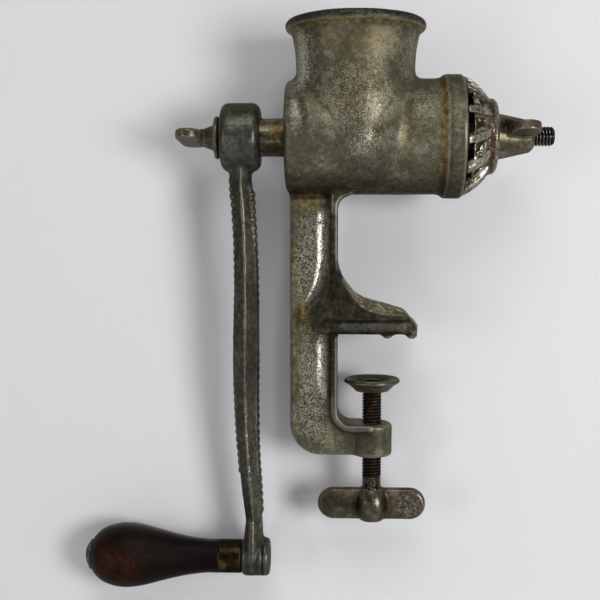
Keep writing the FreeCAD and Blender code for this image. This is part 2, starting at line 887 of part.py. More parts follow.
def handle_grip():
    """Turned wooden grip: a full belly, a slim waist and a tenon inside the ferrule."""
    bore_r = spindle_r + running_gap
    tenon_r = ferrule_r - ferrule_wall - seat_gap
    ferrule_left_x = grip_right_x - ferrule_length
    between_r = (grip_waist_r + grip_belly_r) / 2 + grip_swell
    shoulder_r = (grip_belly_r + grip_end_r) / 2 + grip_shoulder_swell
    outline = (
        (ferrule_left_x - seat_gap, grip_neck_r),
        (grip_right_x - grip_waist_x, grip_waist_r),
        (grip_right_x - (grip_waist_x + grip_belly_x) / 2, between_r),
        (grip_right_x - grip_belly_x, grip_belly_r),
        (grip_left_x + grip_shoulder, shoulder_r),
        (grip_left_x, grip_end_r),
    )
    shape = [FreeCAD.Vector(x, 0, handle_z + radius) for x, radius in outline]
    side = Part.BSplineCurve()
    side.interpolate(shape)
    corners = [
        shape[-1],
        FreeCAD.Vector(grip_left_x, 0, handle_z + bore_r),
        FreeCAD.Vector(grip_right_x - ferrule_wall - seat_gap, 0, handle_z + bore_r),
        FreeCAD.Vector(grip_right_x - ferrule_wall - seat_gap, 0, handle_z + tenon_r),
        FreeCAD.Vector(ferrule_left_x - seat_gap, 0, handle_z + tenon_r),
        shape[0],
    ]
    edges = [side.toShape()]
    for start, end in zip(corners, corners[1:]):
        edges.append(Part.LineSegment(start, end).toShape())
    face = Part.Face(Part.Wire(edges))
    return face.revolve(FreeCAD.Vector(0, 0, handle_z), AXIS_X, 360)


def clamp_pad():
    """Dished plate that swivels on the head of the clamp screw."""
    bore = screw_neck_r + running_gap
    edge_z = pad_top_z - pad_edge
    floor_z = pad_top_z - pad_dish_depth
    return turned_about_z(
        0,
        (bore, floor_z),
        (pad_floor_r, floor_z),
        (pad_dish_r, pad_top_z),
        (pad_r - pad_bevel, pad_top_z),
        (pad_r, edge_z),
        ((pad_r - pad_curve_in, edge_z - pad_curve_down), (pad_foot_r, pad_foot_z)),
        (bore, pad_foot_z),
    )


def clamp_screw():
    """Threaded rod: peened over the pad at its top and into the thumb piece below."""
    floor_z = pad_top_z - pad_dish_depth + face_gap / 2
    steps = thread_steps(-thread_top_z, thread_length, thread_r, thread_pitch, thread_depth)
    thread = [(radius, -z) for z, radius in steps]
    tip_z = wing_bottom_z - wing_hub_drop - tang_reach
    return turned_about_z(
        0,
        (0, floor_z + peen_height),
        ((peen_r * diagonal, floor_z + peen_height * diagonal), (peen_r, floor_z)),
        (screw_neck_r, floor_z),
        (screw_neck_r, thread_top_z),
        (thread_r, thread_top_z),
        *thread,
        (thread_r, thread_bottom_z),
        (shank_r, thread_bottom_z),
        (shank_r, wing_top_z),
        (screw_tang_r, wing_top_z),
        (screw_tang_r, tip_z + tang_chamfer),
        (screw_tang_r - tang_chamfer, tip_z),
        (0, tip_z),
    )


def clamp_thumb_piece():
    """Flat two-winged thumb piece on the foot of the clamp screw."""
    half = wing_span / 2
    end_r = wing_height / 2
    mid_z = (wing_top_z + wing_bottom_z) / 2
    face = closed_face(
        upright,
        (end_r - half, wing_bottom_z),
        (half - end_r, wing_bottom_z),
        arc_step((half - end_r, mid_z), end_r, 0, 90),
        (end_r - half, wing_top_z),
        arc_step((end_r - half, mid_z), end_r, 180, 270),
    )
    wings = slab(face, wing_thickness)
    rims = [edge for edge in wings.Edges if abs(edge.BoundBox.YLength) < 1e-6]
    wings = wings.makeFillet(wing_round, rims)
    hub_foot_z = wing_bottom_z - wing_hub_drop
    hub = turned_about_z(
        0,
        (0, wing_top_z),
        (wing_neck_r, wing_top_z),
        ((wing_hub_r, mid_z), (wing_neck_r, hub_foot_z)),
        (0, hub_foot_z),
    )
    tang_hole = bar_along_z(screw_tang_r + seat_gap, hub_foot_z - overcut, wing_top_z + overcut)
    return joined(wings, hub).cut(tang_hole)


PIECES = {
    "body_casting": body_casting,
    "feed_screw": feed_screw,
    "thrust_washer": thrust_washer,
    "front_stud": front_stud,
    "cutter": cutter,
    "wing_nut": wing_nut,
    "crank_arm": crank_arm,
    "crank_washer": crank_washer,
    "thumb_screw": thumb_screw,
    "handle_spindle": handle_spindle,
    "spindle_washer": spindle_washer,
    "handle_ferrule": handle_ferrule,
    "handle_grip": handle_grip,
    "clamp_pad": clamp_pad,
    "clamp_screw": clamp_screw,
    "clamp_thumb_piece": clamp_thumb_piece,
}


def main():
    os.makedirs("parts", exist_ok=True)
    for name, make in PIECES.items():
        shape = make()
        shape.exportStep(f"parts/{name}.step")
        print(name, len(shape.Solids), "solid", shape.isValid(), round(shape.Volume / 1000, 2), "cm3")


main()
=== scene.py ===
import math

import bmesh
import bpy
import numpy as np
from mathutils import Matrix, Vector
from mathutils.bvhtree import BVHTree
from mathutils.kdtree import KDTree


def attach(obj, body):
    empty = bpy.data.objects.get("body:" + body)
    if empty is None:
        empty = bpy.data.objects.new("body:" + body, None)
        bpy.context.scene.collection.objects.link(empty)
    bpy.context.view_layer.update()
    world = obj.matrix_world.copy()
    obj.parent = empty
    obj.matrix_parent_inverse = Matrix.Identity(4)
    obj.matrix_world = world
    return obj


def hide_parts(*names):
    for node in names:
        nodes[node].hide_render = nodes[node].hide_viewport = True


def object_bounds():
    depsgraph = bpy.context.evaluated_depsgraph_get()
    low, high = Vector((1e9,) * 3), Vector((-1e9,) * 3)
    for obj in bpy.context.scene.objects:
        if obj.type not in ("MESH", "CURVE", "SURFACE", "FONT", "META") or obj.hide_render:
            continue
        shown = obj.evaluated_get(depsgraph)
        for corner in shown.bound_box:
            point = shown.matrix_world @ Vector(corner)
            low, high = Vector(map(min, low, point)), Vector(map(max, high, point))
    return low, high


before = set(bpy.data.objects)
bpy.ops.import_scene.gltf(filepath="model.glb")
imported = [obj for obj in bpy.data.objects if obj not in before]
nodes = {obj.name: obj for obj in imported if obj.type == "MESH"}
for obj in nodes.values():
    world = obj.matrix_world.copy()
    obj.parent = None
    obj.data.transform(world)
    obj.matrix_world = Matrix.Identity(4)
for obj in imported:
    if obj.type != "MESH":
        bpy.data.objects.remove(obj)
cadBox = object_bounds()
bpy.context.scene.view_settings.view_transform = "Standard"
mm = 0.001
axisZ = 96.0  # the barrel's axis, in mm above the jaw's underside
print("frame loaded,", len(nodes), "solids")

# camera as the photograph was taken: nearly level with the barrel, a touch from the cutter's side
view = {
    "target": (-0.0362, 0.0, 0.0152),
    "azimuth": 2.5,
    "elevation": 4.35,
    "roll": -0.03,
    "distance": 0.510,
    "focalPx": 1016.0,
    "imagePx": 600.0,
    "sensor": 36.0,
    "clipStart": 0.01,
}


def viewAxes():
    az, el, roll = (math.radians(view[key]) for key in ("azimuth", "elevation", "roll"))
    back = Vector((math.sin(az) * math.cos(el), -math.cos(az) * math.cos(el), math.sin(el)))
    right = Vector((math.cos(az), math.sin(az), 0.0))
    up = back.cross(right)
    return math.cos(roll) * right + math.sin(roll) * up, math.cos(roll) * up - math.sin(roll) * right, back


def makeCamera():
    right, up, back = viewAxes()
    data = bpy.data.cameras.new("camera")
    data.sensor_width = view["sensor"]
    data.lens = view["focalPx"] / view["imagePx"] * view["sensor"]
    data.clip_start = view["clipStart"]
    camera = bpy.data.objects.new("camera", data)
    turn = Matrix((right, up, back)).transposed()
    camera.matrix_world = Matrix.Translation(Vector(view["target"]) + view["distance"] * back) @ turn.to_4x4()
    bpy.context.scene.collection.objects.link(camera)
    bpy.context.scene.camera = camera


makeCamera()

studio = {
    # direction in the picture (right, up, towards the camera), distance, size and power of each lamp
    "lamps": {
        "key": {"towards": (0.61, -0.03, 0.79), "distance": 1.3, "size": (0.5, 0.5), "watts": 10.0},
        "upper": {"towards": (0.0, 0.74, 0.67), "distance": 1.3, "size": (0.9, 0.8), "watts": 5.2},
        "left": {"towards": (-0.70, -0.04, 0.71), "distance": 1.2, "size": (0.2, 0.5), "watts": 1.9},
        "rear": {"towards": (-0.12, 0.16, -0.98), "distance": 1.3, "size": (0.6, 0.6), "watts": 5.0},
    },
    # the sky is a little lighter above than below, and pale behind the grinder
    "skyLevel": 0.11,
    "skyBand": (-0.6, 0.6),
    "groundLevel": 0.06,
    "backBand": (0.1, 0.6),
    "paper": (0.72, 0.72, 0.735),
    "paperRough": 0.9,
    "paperGloss": 0.1,
    "floorZ": -0.15,
    "floorReach": 1.2,
    "sheetReach": 0.24,
    "sheetGap": 0.0004,
}
squareCorners = ((-1, -1), (1, -1), (1, 1), (-1, 1))


def feed(tree, value, socket):
    if isinstance(value, bpy.types.NodeSocket):
        tree.links.new(value, socket)
    else:
        socket.default_value = value


def addStep(tree, kind, inputs, **settings):
    step = tree.nodes.new(kind)
    for key, setting in settings.items():
        setattr(step, key, setting)
    for key, value in inputs.items():
        feed(tree, value, step.inputs[key])
    return step.outputs


def addMath(tree, operation, first, second=0.0, clamp=False):
    return addStep(tree, "ShaderNodeMath", {0: first, 1: second}, operation=operation, use_clamp=clamp)[0]


def addRange(tree, value, low, high, toLow=0.0, toHigh=1.0, kind="SMOOTHSTEP"):
    inputs = {"Value": value, "From Min": low, "From Max": high, "To Min": toLow, "To Max": toHigh}
    return addStep(tree, "ShaderNodeMapRange", inputs, interpolation_type=kind)[0]


def makeLamps():
    axes = viewAxes()
    for name, lamp in studio["lamps"].items():
        data = bpy.data.lights.new(name + "Lamp", "AREA")
        data.shape = "ELLIPSE"
        data.size, data.size_y = lamp["size"]
        data.energy = lamp["watts"]
        towards = sum((axis * share for axis, share in zip(axes, lamp["towards"])), Vector())
        towards.normalize()
        obj = bpy.data.objects.new(name + "Lamp", data)
        obj.location = Vector(view["target"]) + towards * lamp["distance"]
        side = axes[1].cross(towards).normalized()
        obj.rotation_euler = Matrix((side, towards.cross(side), towards)).transposed().to_euler()
        obj.visible_camera = False
        bpy.context.scene.collection.objects.link(obj)


def makeSky():
    world = bpy.data.worlds.new("studio")
    bpy.context.scene.world = world
    world.use_nodes = True
    tree = world.node_tree
    towards = addStep(tree, "ShaderNodeTexCoord", {})["Generated"]
    _, y, z = addStep(tree, "ShaderNodeSeparateXYZ", {0: towards})
    above = addRange(tree, z, *studio["skyBand"], studio["groundLevel"], studio["skyLevel"], "LINEAR")
    pale = studio["paper"][0] - studio["skyLevel"]
    behind = addRange(tree, y, *studio["backBand"], 0.0, pale, "LINEAR")
    sky = tree.nodes["Background"]
    sky.inputs["Color"].default_value = (1.0, 1.0, 1.0, 1.0)
    feed(tree, addMath(tree, "ADD", above, behind), sky.inputs["Strength"])


def newPiece(name, mesh):
    obj = bpy.data.objects.new(name, mesh)
    bpy.context.scene.collection.objects.link(obj)
    return obj


def paperLook(name, oneSided):
    mat = bpy.data.materials.new(name)
    mat.use_nodes = True
    tree = mat.node_tree
    shader = tree.nodes["Principled BSDF"]
    shader.inputs["Base Color"].default_value = (*studio["paper"], 1.0)
    shader.inputs["Roughness"].default_value = studio["paperRough"]
    shader.inputs["Specular IOR Level"].default_value = studio["paperGloss"]
    if oneSided:
        behind = addStep(tree, "ShaderNodeNewGeometry", {})["Backfacing"]
        clear = addStep(tree, "ShaderNodeBsdfTransparent", {})[0]
        mixed = addStep(tree, "ShaderNodeMixShader", {0: behind, 1: shader.outputs[0], 2: clear})[0]
        feed(tree, mixed, tree.nodes["Material Output"].inputs["Surface"])
    return mat


def paperPiece(name, corners, oneSided):
    mesh = bpy.data.meshes.new(name)
    mesh.from_pydata([tuple(corner) for corner in corners], [], [(0, 1, 2, 3)])
    mesh.materials.append(paperLook(name + "Paper", oneSided))
    obj = newPiece(name, mesh)
    obj.visible_shadow = False  # the low key lamp and the rear lamp shine through
    return obj


def readAll(items, key, width, kind=np.float32):
    values = np.empty(len(items) * width, kind)
    items.foreach_get(key, values)
    return values.reshape(-1, width)


def pointsOf(mesh):
    return readAll(mesh.vertices, "co", 3).astype(float)


def makeStage():
    right, up, back = viewAxes()
    target, z, reach = Vector(view["target"]), studio["floorZ"], studio["floorReach"]
    floor = paperPiece("floor", [(a * reach, b * reach, z) for a, b in squareCorners], False)
    deepest = max(float((pointsOf(obj.data) @ -np.array(back)).max()) for obj in nodes.values())
    centre = target - back * (deepest + studio["sheetGap"] + target.dot(back))
    reach = studio["sheetReach"]
    corners = [centre + right * a * reach + up * b * reach for a, b in squareCorners]
    sheet = paperPiece("sheet", corners, True)  # the grinder lies on it


makeLamps()
makeSky()
makeStage()
print("camera, lamps and stage made")


def tint(tone):
    # from sRGB, 0 to 255, to the linear colour that a shader takes
    parts = [c / 255.0 for c in tone]
    return tuple(c / 12.92 if c <= 0.04045 else ((c + 0.055) / 1.055) ** 2.4 for c in parts) + (1.0,)


def newLook(name):
    mat = bpy.data.materials.new(name)
    mat.use_nodes = True
    tree = mat.node_tree
    return mat, tree, tree.nodes["Principled BSDF"], addStep(tree, "ShaderNodeTexCoord", {})["Object"]


def addNoise(tree, place, size, detail, distortion=0.0):
    inputs = {"Vector": place, "Scale": 1.0 / (size * mm), "Detail": detail, "Distortion": distortion}
    return addStep(tree, "ShaderNodeTexNoise", inputs)[0]


def addCells(tree, place, size):
    return addStep(tree, "ShaderNodeTexVoronoi", {"Vector": place, "Scale": 1.0 / (size * mm)})["Distance"]


def addMix(tree, share, first, second):
    return addStep(tree, "ShaderNodeMix", {0: share, 6: first, 7: second}, data_type="RGBA")[2]


def addRamp(tree, value, stops):
    step = tree.nodes.new("ShaderNodeValToRGB")
    feed(tree, value, step.inputs[0])
    ramp = step.color_ramp
    while len(ramp.elements) < len(stops):
        ramp.elements.new(0.5)
    for element, (place, colour) in zip(ramp.elements, stops):
        element.position = place
        element.color = colour
    return step.outputs[0]


def addAttribute(tree, name):
    return addStep(tree, "ShaderNodeAttribute", {}, attribute_name=name)["Fac"]


def addSum(tree, signals, shares):
    total = None
    for key, share in shares.items():
        part = addMath(tree, "MULTIPLY", signals[key], share)
        total = part if total is None else addMath(tree, "ADD", total, part)
    return total


def addBump(tree, shader, height, distance):
    inputs = {"Strength": 1.0, "Distance": distance * mm, "Height": height}
    feed(tree, addStep(tree, "ShaderNodeBump", inputs)[0], shader.inputs["Normal"])


# worn tin over cast iron: dark, middle and light tones, golden stain in the creases, rust, a dark tone for
# soot and painted shade, and a pale tone for bright worn edges and painted glints
# patches, mottle and speck give the size in mm and the share in the tone
tinLooks = {
    "agedTin": {
        "dark": (44, 42, 31), "middle": (93, 90, 72), "light": (170, 167, 150), "sootTone": (20, 18, 13),
        "gold": (132, 114, 68), "brown": (60, 45, 24), "rustTone": (80, 47, 19), "worn": (190, 187, 174),
        "patches": (14.0, 0.64), "mottle": (2.8, 0.48), "speck": (0.75, 1.2), "pitSize": 1.5,
        "metal": 0.62, "rough": 0.45, "bump": 0.10,
    },
    "crankIron": {
        "dark": (38, 37, 32), "middle": (71, 70, 62), "light": (122, 120, 111), "sootTone": (22, 20, 16),
        "gold": (96, 84, 54), "brown": (50, 40, 25), "rustTone": (62, 40, 22), "worn": (150, 147, 138),
        "patches": (13.0, 0.64), "mottle": (2.6, 0.675), "speck": (0.7, 1.05), "pitSize": 1.3,
        "metal": 0.65, "rough": 0.34, "bump": 0.09,
    },
    "cutterTin": {
        "dark": (60, 53, 42), "middle": (122, 116, 100), "light": (192, 186, 170), "sootTone": (26, 20, 14),
        "gold": (120, 84, 46), "brown": (26, 15, 7), "rustTone": (80, 45, 15), "worn": (222, 218, 206),
        "patches": (7.0, 0.8), "mottle": (2.2, 1.35), "speck": (0.7, 0.75), "pitSize": 1.2,
        "metal": 0.6, "rough": 0.2, "bump": 0.2,
    },
    "smallTin": {
        "dark": (50, 46, 36), "middle": (92, 86, 70), "light": (150, 144, 126), "sootTone": (26, 22, 16),
        "gold": (128, 104, 62), "brown": (64, 46, 26), "rustTone": (66, 38, 17), "worn": (186, 180, 164),
        "patches": (8.0, 0.8), "mottle": (2.6, 0.75), "speck": (0.7, 1.05), "pitSize": 1.3,
        "metal": 0.65, "rough": 0.32, "bump": 0.08,
    },
    "padIron": {
        "dark": (44, 39, 31), "middle": (84, 78, 65), "light": (144, 138, 123), "sootTone": (24, 20, 15),
        "gold": (104, 84, 52), "brown": (54, 38, 23), "rustTone": (70, 42, 22), "worn": (176, 171, 158),
        "patches": (9.0, 0.8), "mottle": (2.8, 0.75), "speck": (0.8, 1.05), "pitSize": 1.4,
        "metal": 0.65, "rough": 0.34, "bump": 0.09,
    },
    "rustySteel": {
        "dark": (15, 10, 6), "middle": (33, 23, 14), "light": (76, 62, 45), "sootTone": (10, 7, 5),
        "gold": (66, 46, 28), "brown": (34, 22, 13), "rustTone": (50, 30, 16), "worn": (104, 94, 80),
        "patches": (6.0, 0.8), "mottle": (2.0, 0.9), "speck": (0.6, 1.05), "pitSize": 1.0,
        "metal": 0.45, "rough": 0.52, "bump": 0.06,
    },
    "darkStud": {
        "dark": (26, 24, 21), "middle": (50, 47, 43), "light": (104, 100, 92), "sootTone": (16, 15, 13),
        "gold": (80, 68, 50), "brown": (38, 31, 24), "rustTone": (50, 34, 22), "worn": (156, 152, 144),
        "patches": (6.0, 0.64), "mottle": (2.0, 0.75), "speck": (0.6, 0.75), "pitSize": 1.0,
        "metal": 0.85, "rough": 0.32, "bump": 0.04,
    },
    "wormIron": {
        "dark": (54, 48, 35), "middle": (102, 96, 76), "light": (166, 159, 138), "sootTone": (34, 28, 19),
        "gold": (146, 122, 70), "brown": (68, 48, 25), "rustTone": (60, 34, 15), "worn": (200, 195, 180),
        "patches": (6.0, 1.12), "mottle": (2.4, 1.2), "speck": (0.8, 1.2), "pitSize": 1.3,
        "metal": 0.85, "rough": 0.34, "bump": 0.10,
    },
    "plainSteel": {
        "dark": (52, 49, 45), "middle": (92, 89, 82), "light": (146, 143, 134), "sootTone": (30, 28, 25),
        "gold": (116, 98, 68), "brown": (60, 44, 28), "rustTone": (74, 44, 24), "worn": (186, 183, 175),
        "patches": (6.0, 0.8), "mottle": (2.2, 0.75), "speck": (0.6, 0.9), "pitSize": 1.1,
        "metal": 0.9, "rough": 0.34, "bump": 0.05,
    },
    "agedBrass": {
        "dark": (25, 18, 10), "middle": (44, 35, 22), "light": (78, 66, 38), "sootTone": (18, 13, 8),
        "gold": (92, 84, 34), "brown": (34, 25, 13), "rustTone": (36, 24, 13), "worn": (120, 104, 64),
        "patches": (7.0, 1.28), "mottle": (2.6, 1.05), "speck": (0.7, 0.6), "pitSize": 1.2,
        "metal": 0.85, "rough": 0.36, "bump": 0.04,
    },
}
toneKeys = ("dark", "middle", "light", "sootTone", "gold", "brown", "rustTone", "worn")
wearAndShadeKeys = ("crease", "edge", "patina", "rust", "silver", "soot")

# what all tin looks share: noise details, the shares of signals in a sum, and how far each coat covers
tinRecipe = {
    "detail": {"patches": 5.0, "mottle": 4.0, "speck": 2.0},
    "rustDetail": 6.0,
    "silverLife": 1.7, "plainLife": 0.42,
    # silver lightens the tone, for worn metal and painted glints; crease darkens it, as painted shade in the
    # creases
    "tone": {"silver": 0.24, "crease": -0.22, "pits": -0.25},
    "ramp": {"dark": 0.05, "middle": 0.5, "light": 0.95},
    # signal: its parts, and the range that they are spread over
    "signals": {
        "pits": ({"cells": 1.0}, (0.08, 0.26, 1.0, 0.0)),
        "stained": ({"patina": 0.8, "crease": 0.5, "mottle": 0.9, "patches": 0.5}, (0.85, 1.5)),
        "stainGrain": ({"speck": 0.45, "mottle": 0.55}, (0.34, 0.64)),
        "rusted": ({"rust": 0.5, "crease": 0.1, "rustNoise": 0.8, "speck": 0.3}, (0.82, 1.06)),
        "rustGrain": ({"speck": 1.0}, (0.4, 0.6)),
        "sootGrain": ({"mottle": 1.0}, (0.2, 0.8, 1.0, 0.8)),
        "bright": ({"silver": 1.0}, (0.9, 1.5)),
        "brightGrain": ({"speck": 0.6, "mottle": 0.4}, (0.36, 0.5)),
        "wear": ({"edge": 0.8, "speck": 0.5}, (0.55, 0.95)),
    },
    "stainCover": 0.78, "rustCover": 0.9, "brightCover": 0.85, "wearCover": 0.18,
    "stainDull": 0.8, "dullMetal": 0.45, "silverMetal": 0.16,
    "rough": {
        "mottle": 0.25, "speck": 0.2, "rusted": 0.1, "patina": 0.1, "soot": 0.04, "silver": -0.18,
        "wear": -0.06,
    },
    "roughShift": -0.22, "roughLeast": 0.12,
    "height": {"speck": 0.6, "mottle": 1.2, "pits": -0.6, "rusted": 0.3}, "silverHeight": 0.4,
    "specular": 0.22, "specularTint": (0.3, 0.3, 0.29, 1.0),  # dark towards grazing views
}


def tinLook(name):
    look, recipe = tinLooks[name], tinRecipe
    mat, tree, shader, place = newLook(name)
    tones = {key: tint(look[key]) for key in toneKeys}
    here = {key: addAttribute(tree, key) for key in wearAndShadeKeys}
    for key, detail in recipe["detail"].items():
        here[key] = addNoise(tree, place, look[key][0], detail)
    here["rustNoise"] = addNoise(tree, place, look["mottle"][0], recipe["rustDetail"])
    here["cells"] = addCells(tree, place, look["pitSize"])
    for key, (parts, limits) in recipe["signals"].items():
        here[key] = addRange(tree, addSum(tree, here, parts), *limits)

    def times(key, share):
        return addMath(tree, "MULTIPLY", here[key], share)

    def about(key):
        return addMath(tree, "SUBTRACT", here[key], 0.5)

    life = addMath(tree, "ADD", times("silver", recipe["silverLife"]), recipe["plainLife"])
    swings = {key: about(key) for key in recipe["detail"]}
    swings["speck"] = addMath(tree, "MULTIPLY", swings["speck"], life)
    tone = addSum(tree, {**here, **swings}, {**{key: look[key][1] for key in swings}, **recipe["tone"]})
    tone = addMath(tree, "ADD", tone, 0.5)
    colour = addRamp(tree, tone, [(spot, tones[key]) for key, spot in recipe["ramp"].items()])
    stain = addMix(tree, here["stainGrain"], tones["brown"], tones["gold"])
    colour = addMix(tree, times("stained", recipe["stainCover"]), colour, stain)
    rust = addMix(tree, here["rustGrain"], tones["brown"], tones["rustTone"])
    colour = addMix(tree, times("rusted", recipe["rustCover"]), colour, rust)
    # soot and painted shade darken the colour
    sootAndShadeShare = addMath(tree, "MULTIPLY", here["soot"], here["sootGrain"], True)
    colour = addMix(tree, sootAndShadeShare, colour, tones["sootTone"])
    # bright worn metal and painted glints pale the colour, and so do worn edges and painted crest highlights
    shine = addMath(tree, "MULTIPLY", times("bright", here["brightGrain"]), recipe["brightCover"])
    colour = addMix(tree, shine, colour, tones["worn"])
    colour = addMix(tree, times("wear", recipe["wearCover"]), colour, tones["worn"])
    feed(tree, colour, shader.inputs["Base Color"])
    dull = addMath(tree, "MAXIMUM", times("stained", recipe["stainDull"]), here["rusted"])
    metal = addRange(tree, dull, 0.0, 1.0, look["metal"], recipe["dullMetal"] * look["metal"])
    metal = addMath(tree, "ADD", metal, times("silver", recipe["silverMetal"]), True)
    feed(tree, metal, shader.inputs["Metallic"])
    rough = addMath(tree, "ADD", addSum(tree, here, recipe["rough"]), look["rough"] + recipe["roughShift"])
    feed(tree, addMath(tree, "MAXIMUM", rough, recipe["roughLeast"]), shader.inputs["Roughness"])
    shader.inputs["Specular IOR Level"].default_value = recipe["specular"]
    shader.inputs["Specular Tint"].default_value = recipe["specularTint"]
    height = addMath(tree, "ADD", times("silver", recipe["silverHeight"]), 1.0)
    height = addMath(tree, "MULTIPLY", addSum(tree, here, recipe["height"]), height)
    addBump(tree, shader, height, look["bump"])
    return mat


woodLook = {
    "dark": (12, 7, 5), "middle": (25, 14, 9), "red": (50, 25, 13),
    "ringSize": 0.8, "ringWaves": {"Distortion": 7.0, "Detail": 3.0, "Detail Scale": 0.6}, "grainLean": 7.0,
    "fibreSize": 0.7, "fibreStretch": 0.12, "cloudSize": 14.0, "cloudWobble": 0.5, "noiseDetail": 4.0,
    "grain": {"rings": 0.3, "fibre": 0.5, "cloud": 0.5}, "plainRange": (0.4, 0.95),
    "livelyRange": (0.35, 0.85), "redRange": (0.3, 0.65), "handDark": 0.75,
    "roughShares": {"fibre": 0.16, "cloud": 0.14}, "rough": 0.31, "gloss": 0.08,
    "bumpShares": {"fibre": 1.0, "rings": 0.25}, "bump": 0.03,
}
waveFactor = 20.0  # the wave texture's own factor on its scale


def gripWood():
    look = woodLook
    mat, tree, shader, place = newLook("gripWood")
    dark, middle, red = (tint(look[key]) for key in ("dark", "middle", "red"))
    turn = (0.0, 0.0, math.radians(look["grainLean"]))
    lean = addStep(tree, "ShaderNodeMapping", {"Vector": place, "Rotation": turn})[0]
    waves = {"Vector": lean, "Scale": math.tau / (waveFactor * look["ringSize"] * mm), **look["ringWaves"]}
    rings = addStep(tree, "ShaderNodeTexWave", waves, wave_type="BANDS", bands_direction="Y")["Fac"]
    stretch = {"Vector": place, "Scale": (look["fibreStretch"], 1.0, 1.0)}
    along = addStep(tree, "ShaderNodeMapping", stretch)[0]
    cloud = addNoise(tree, place, look["cloudSize"], look["noiseDetail"], look["cloudWobble"])
    fibre = addNoise(tree, along, look["fibreSize"], look["noiseDetail"])
    here = {"rings": rings, "fibre": fibre, "cloud": cloud}
    grain = addSum(tree, here, look["grain"])
    plain = addMix(tree, addRange(tree, grain, *look["plainRange"]), dark, middle)
    lively = addMix(tree, addRange(tree, grain, *look["livelyRange"]), middle, red)
    redHere = addRange(tree, cloud, *look["redRange"])
    redHere = addMath(tree, "MULTIPLY", addAttribute(tree, "patina"), redHere, True)
    colour = addMix(tree, redHere, plain, lively)
    worn = addMath(tree, "MULTIPLY", addAttribute(tree, "soot"), look["handDark"])
    feed(tree, addMix(tree, worn, colour, dark), shader.inputs["Base Color"])
    rough = addMath(tree, "ADD", addSum(tree, here, look["roughShares"]), look["rough"])
    feed(tree, rough, shader.inputs["Roughness"])
    shader.inputs["Specular IOR Level"].default_value = look["gloss"]
    addBump(tree, shader, addSum(tree, here, look["bumpShares"]), look["bump"])
    return mat


looks = {name: tinLook(name) for name in tinLooks}
looks["gripWood"] = gripWood()
print("finishes made:", ", ".join(sorted(looks)))


# how every casting is softened and worn: sizes in mm, passes, seeds and shares
# in a piece: fillet is strength and passes, wear is reach and depth, zones are centre, reach and strength
castSkin = {
    "mergeGap": 0.001, "quickVoxel": 1.5, "triangles": 190000, "halfStep": 0.5, "zoneFade": 0.7,
    "tableSize": 32, "wearPasses": 2, "bendPasses": 8, "bendDepth": 0.1, "blendPasses": 6, "formPasses": 2,
    "flowPasses": 60, "lumpSize": 7.0, "lumpSeed": 3, "rippleSize": 2.6, "rippleSeed": 5,
    "rippleShare": 0.4, "gritSeed": 7,
}


def meshFrom(build, name):
    mesh = bpy.data.meshes.new(name)
    build.to_mesh(mesh)
    build.free()
    return mesh


def joinMeshes(name, *meshes):
    build = bmesh.new()
    for mesh in meshes:
        build.from_mesh(mesh)
    return meshFrom(build, name)


def mergedCopy(node):
    mesh = nodes[node].data.copy()
    mesh.materials.clear()
    build = bmesh.new()
    build.from_mesh(mesh)
    bmesh.ops.remove_doubles(build, verts=build.verts, dist=castSkin["mergeGap"] * mm)
    return meshFrom(build, node + "Copy")


def settle(obj):
    graph = bpy.context.evaluated_depsgraph_get()
    mesh = bpy.data.meshes.new_from_object(obj.evaluated_get(graph))
    obj.modifiers.clear()
    obj.data = mesh


def evenOut(obj, voxel):
    step = obj.modifiers.new("even", "REMESH")
    step.mode = "VOXEL"
    step.voxel_size = voxel * mm * 1.0
    settle(obj)


def thinOut(obj, triangles):
    count = sum(len(face.vertices) - 2 for face in obj.data.polygons)
    if count <= triangles:
        return
    step = obj.modifiers.new("thin", "DECIMATE")
    step.ratio = triangles / count
    settle(obj)


def edgesOf(mesh):
    return readAll(mesh.edges, "vertices", 2, np.int32)


def normalsOf(mesh):
    return readAll(mesh.vertex_normals, "vector", 3).astype(float)


def putPoints(mesh, co):
    mesh.vertices.foreach_set("co", co.astype(np.float32).ravel())
    mesh.update()


def smoothFaces(mesh):
    mesh.polygons.foreach_set("use_smooth", np.ones(len(mesh.polygons), bool))


def relaxed(co, pairs, passes, share=1.0):
    # each point moves towards the middle of its neighbours
    count, step = len(co), castSkin["halfStep"] * share
    first, second = pairs[:, 0], pairs[:, 1]
    degree = np.bincount(pairs.ravel(), minlength=count)[:, None]
    for _ in range(passes):
        total = np.stack([
            np.bincount(first, co[second, axis], count) + np.bincount(second, co[first, axis], count)
            for axis in range(co.shape[1])
        ], 1)
        co = co + step * (total / degree - co)
    return co


def bendOf(co, pairs, normals, passes, depth):
    # 1 in a crease and -1 on an edge of this depth
    return ((relaxed(co, pairs, passes) - co) * normals).sum(1) / (depth * mm)


def ease(value, low, high):
    t = np.clip((value - low) / (high - low), 0.0, 1.0)
    return t * t * (3.0 - 2.0 * t)


def sharesOf(fields, bands):
    # each share: its strength, then a smooth step per field from where it is nothing to where it is full
    shares = {}
    for name, (strength, *steps) in bands.items():
        shares[name] = strength
        for key, nothing, full in steps:
            shares[name] = shares[name] * ease(fields[key], nothing, full)
    return shares


def lattice(co, size, seed):
    # smooth noise from a table of random values, one per corner of a cube
    count = castSkin["tableSize"]
    table = np.random.default_rng(seed).random((count, count, count)) * 2.0 - 1.0
    spot = co / (size * mm)
    corner = np.floor(spot).astype(int)
    part = ease(spot - corner, 0.0, 1.0)
    total = np.zeros(len(co))
    for step in np.ndindex(2, 2, 2):
        weight = np.where(step, part, 1.0 - part).prod(1)
        total += weight * table[tuple(((corner + step) % count).T)]
    return total


def zoneShare(co, zones):
    share = np.zeros(len(co))
    for centre, reach, strength in zones:
        away = np.sqrt((((co / mm - centre) / reach) ** 2).sum(1))
        share = np.maximum(share, strength * ease(1.0 - away, 0.0, castSkin["zoneFade"]))
    return share


def atLeast(values, key, share):
    values[key] = np.maximum(values[key], share)


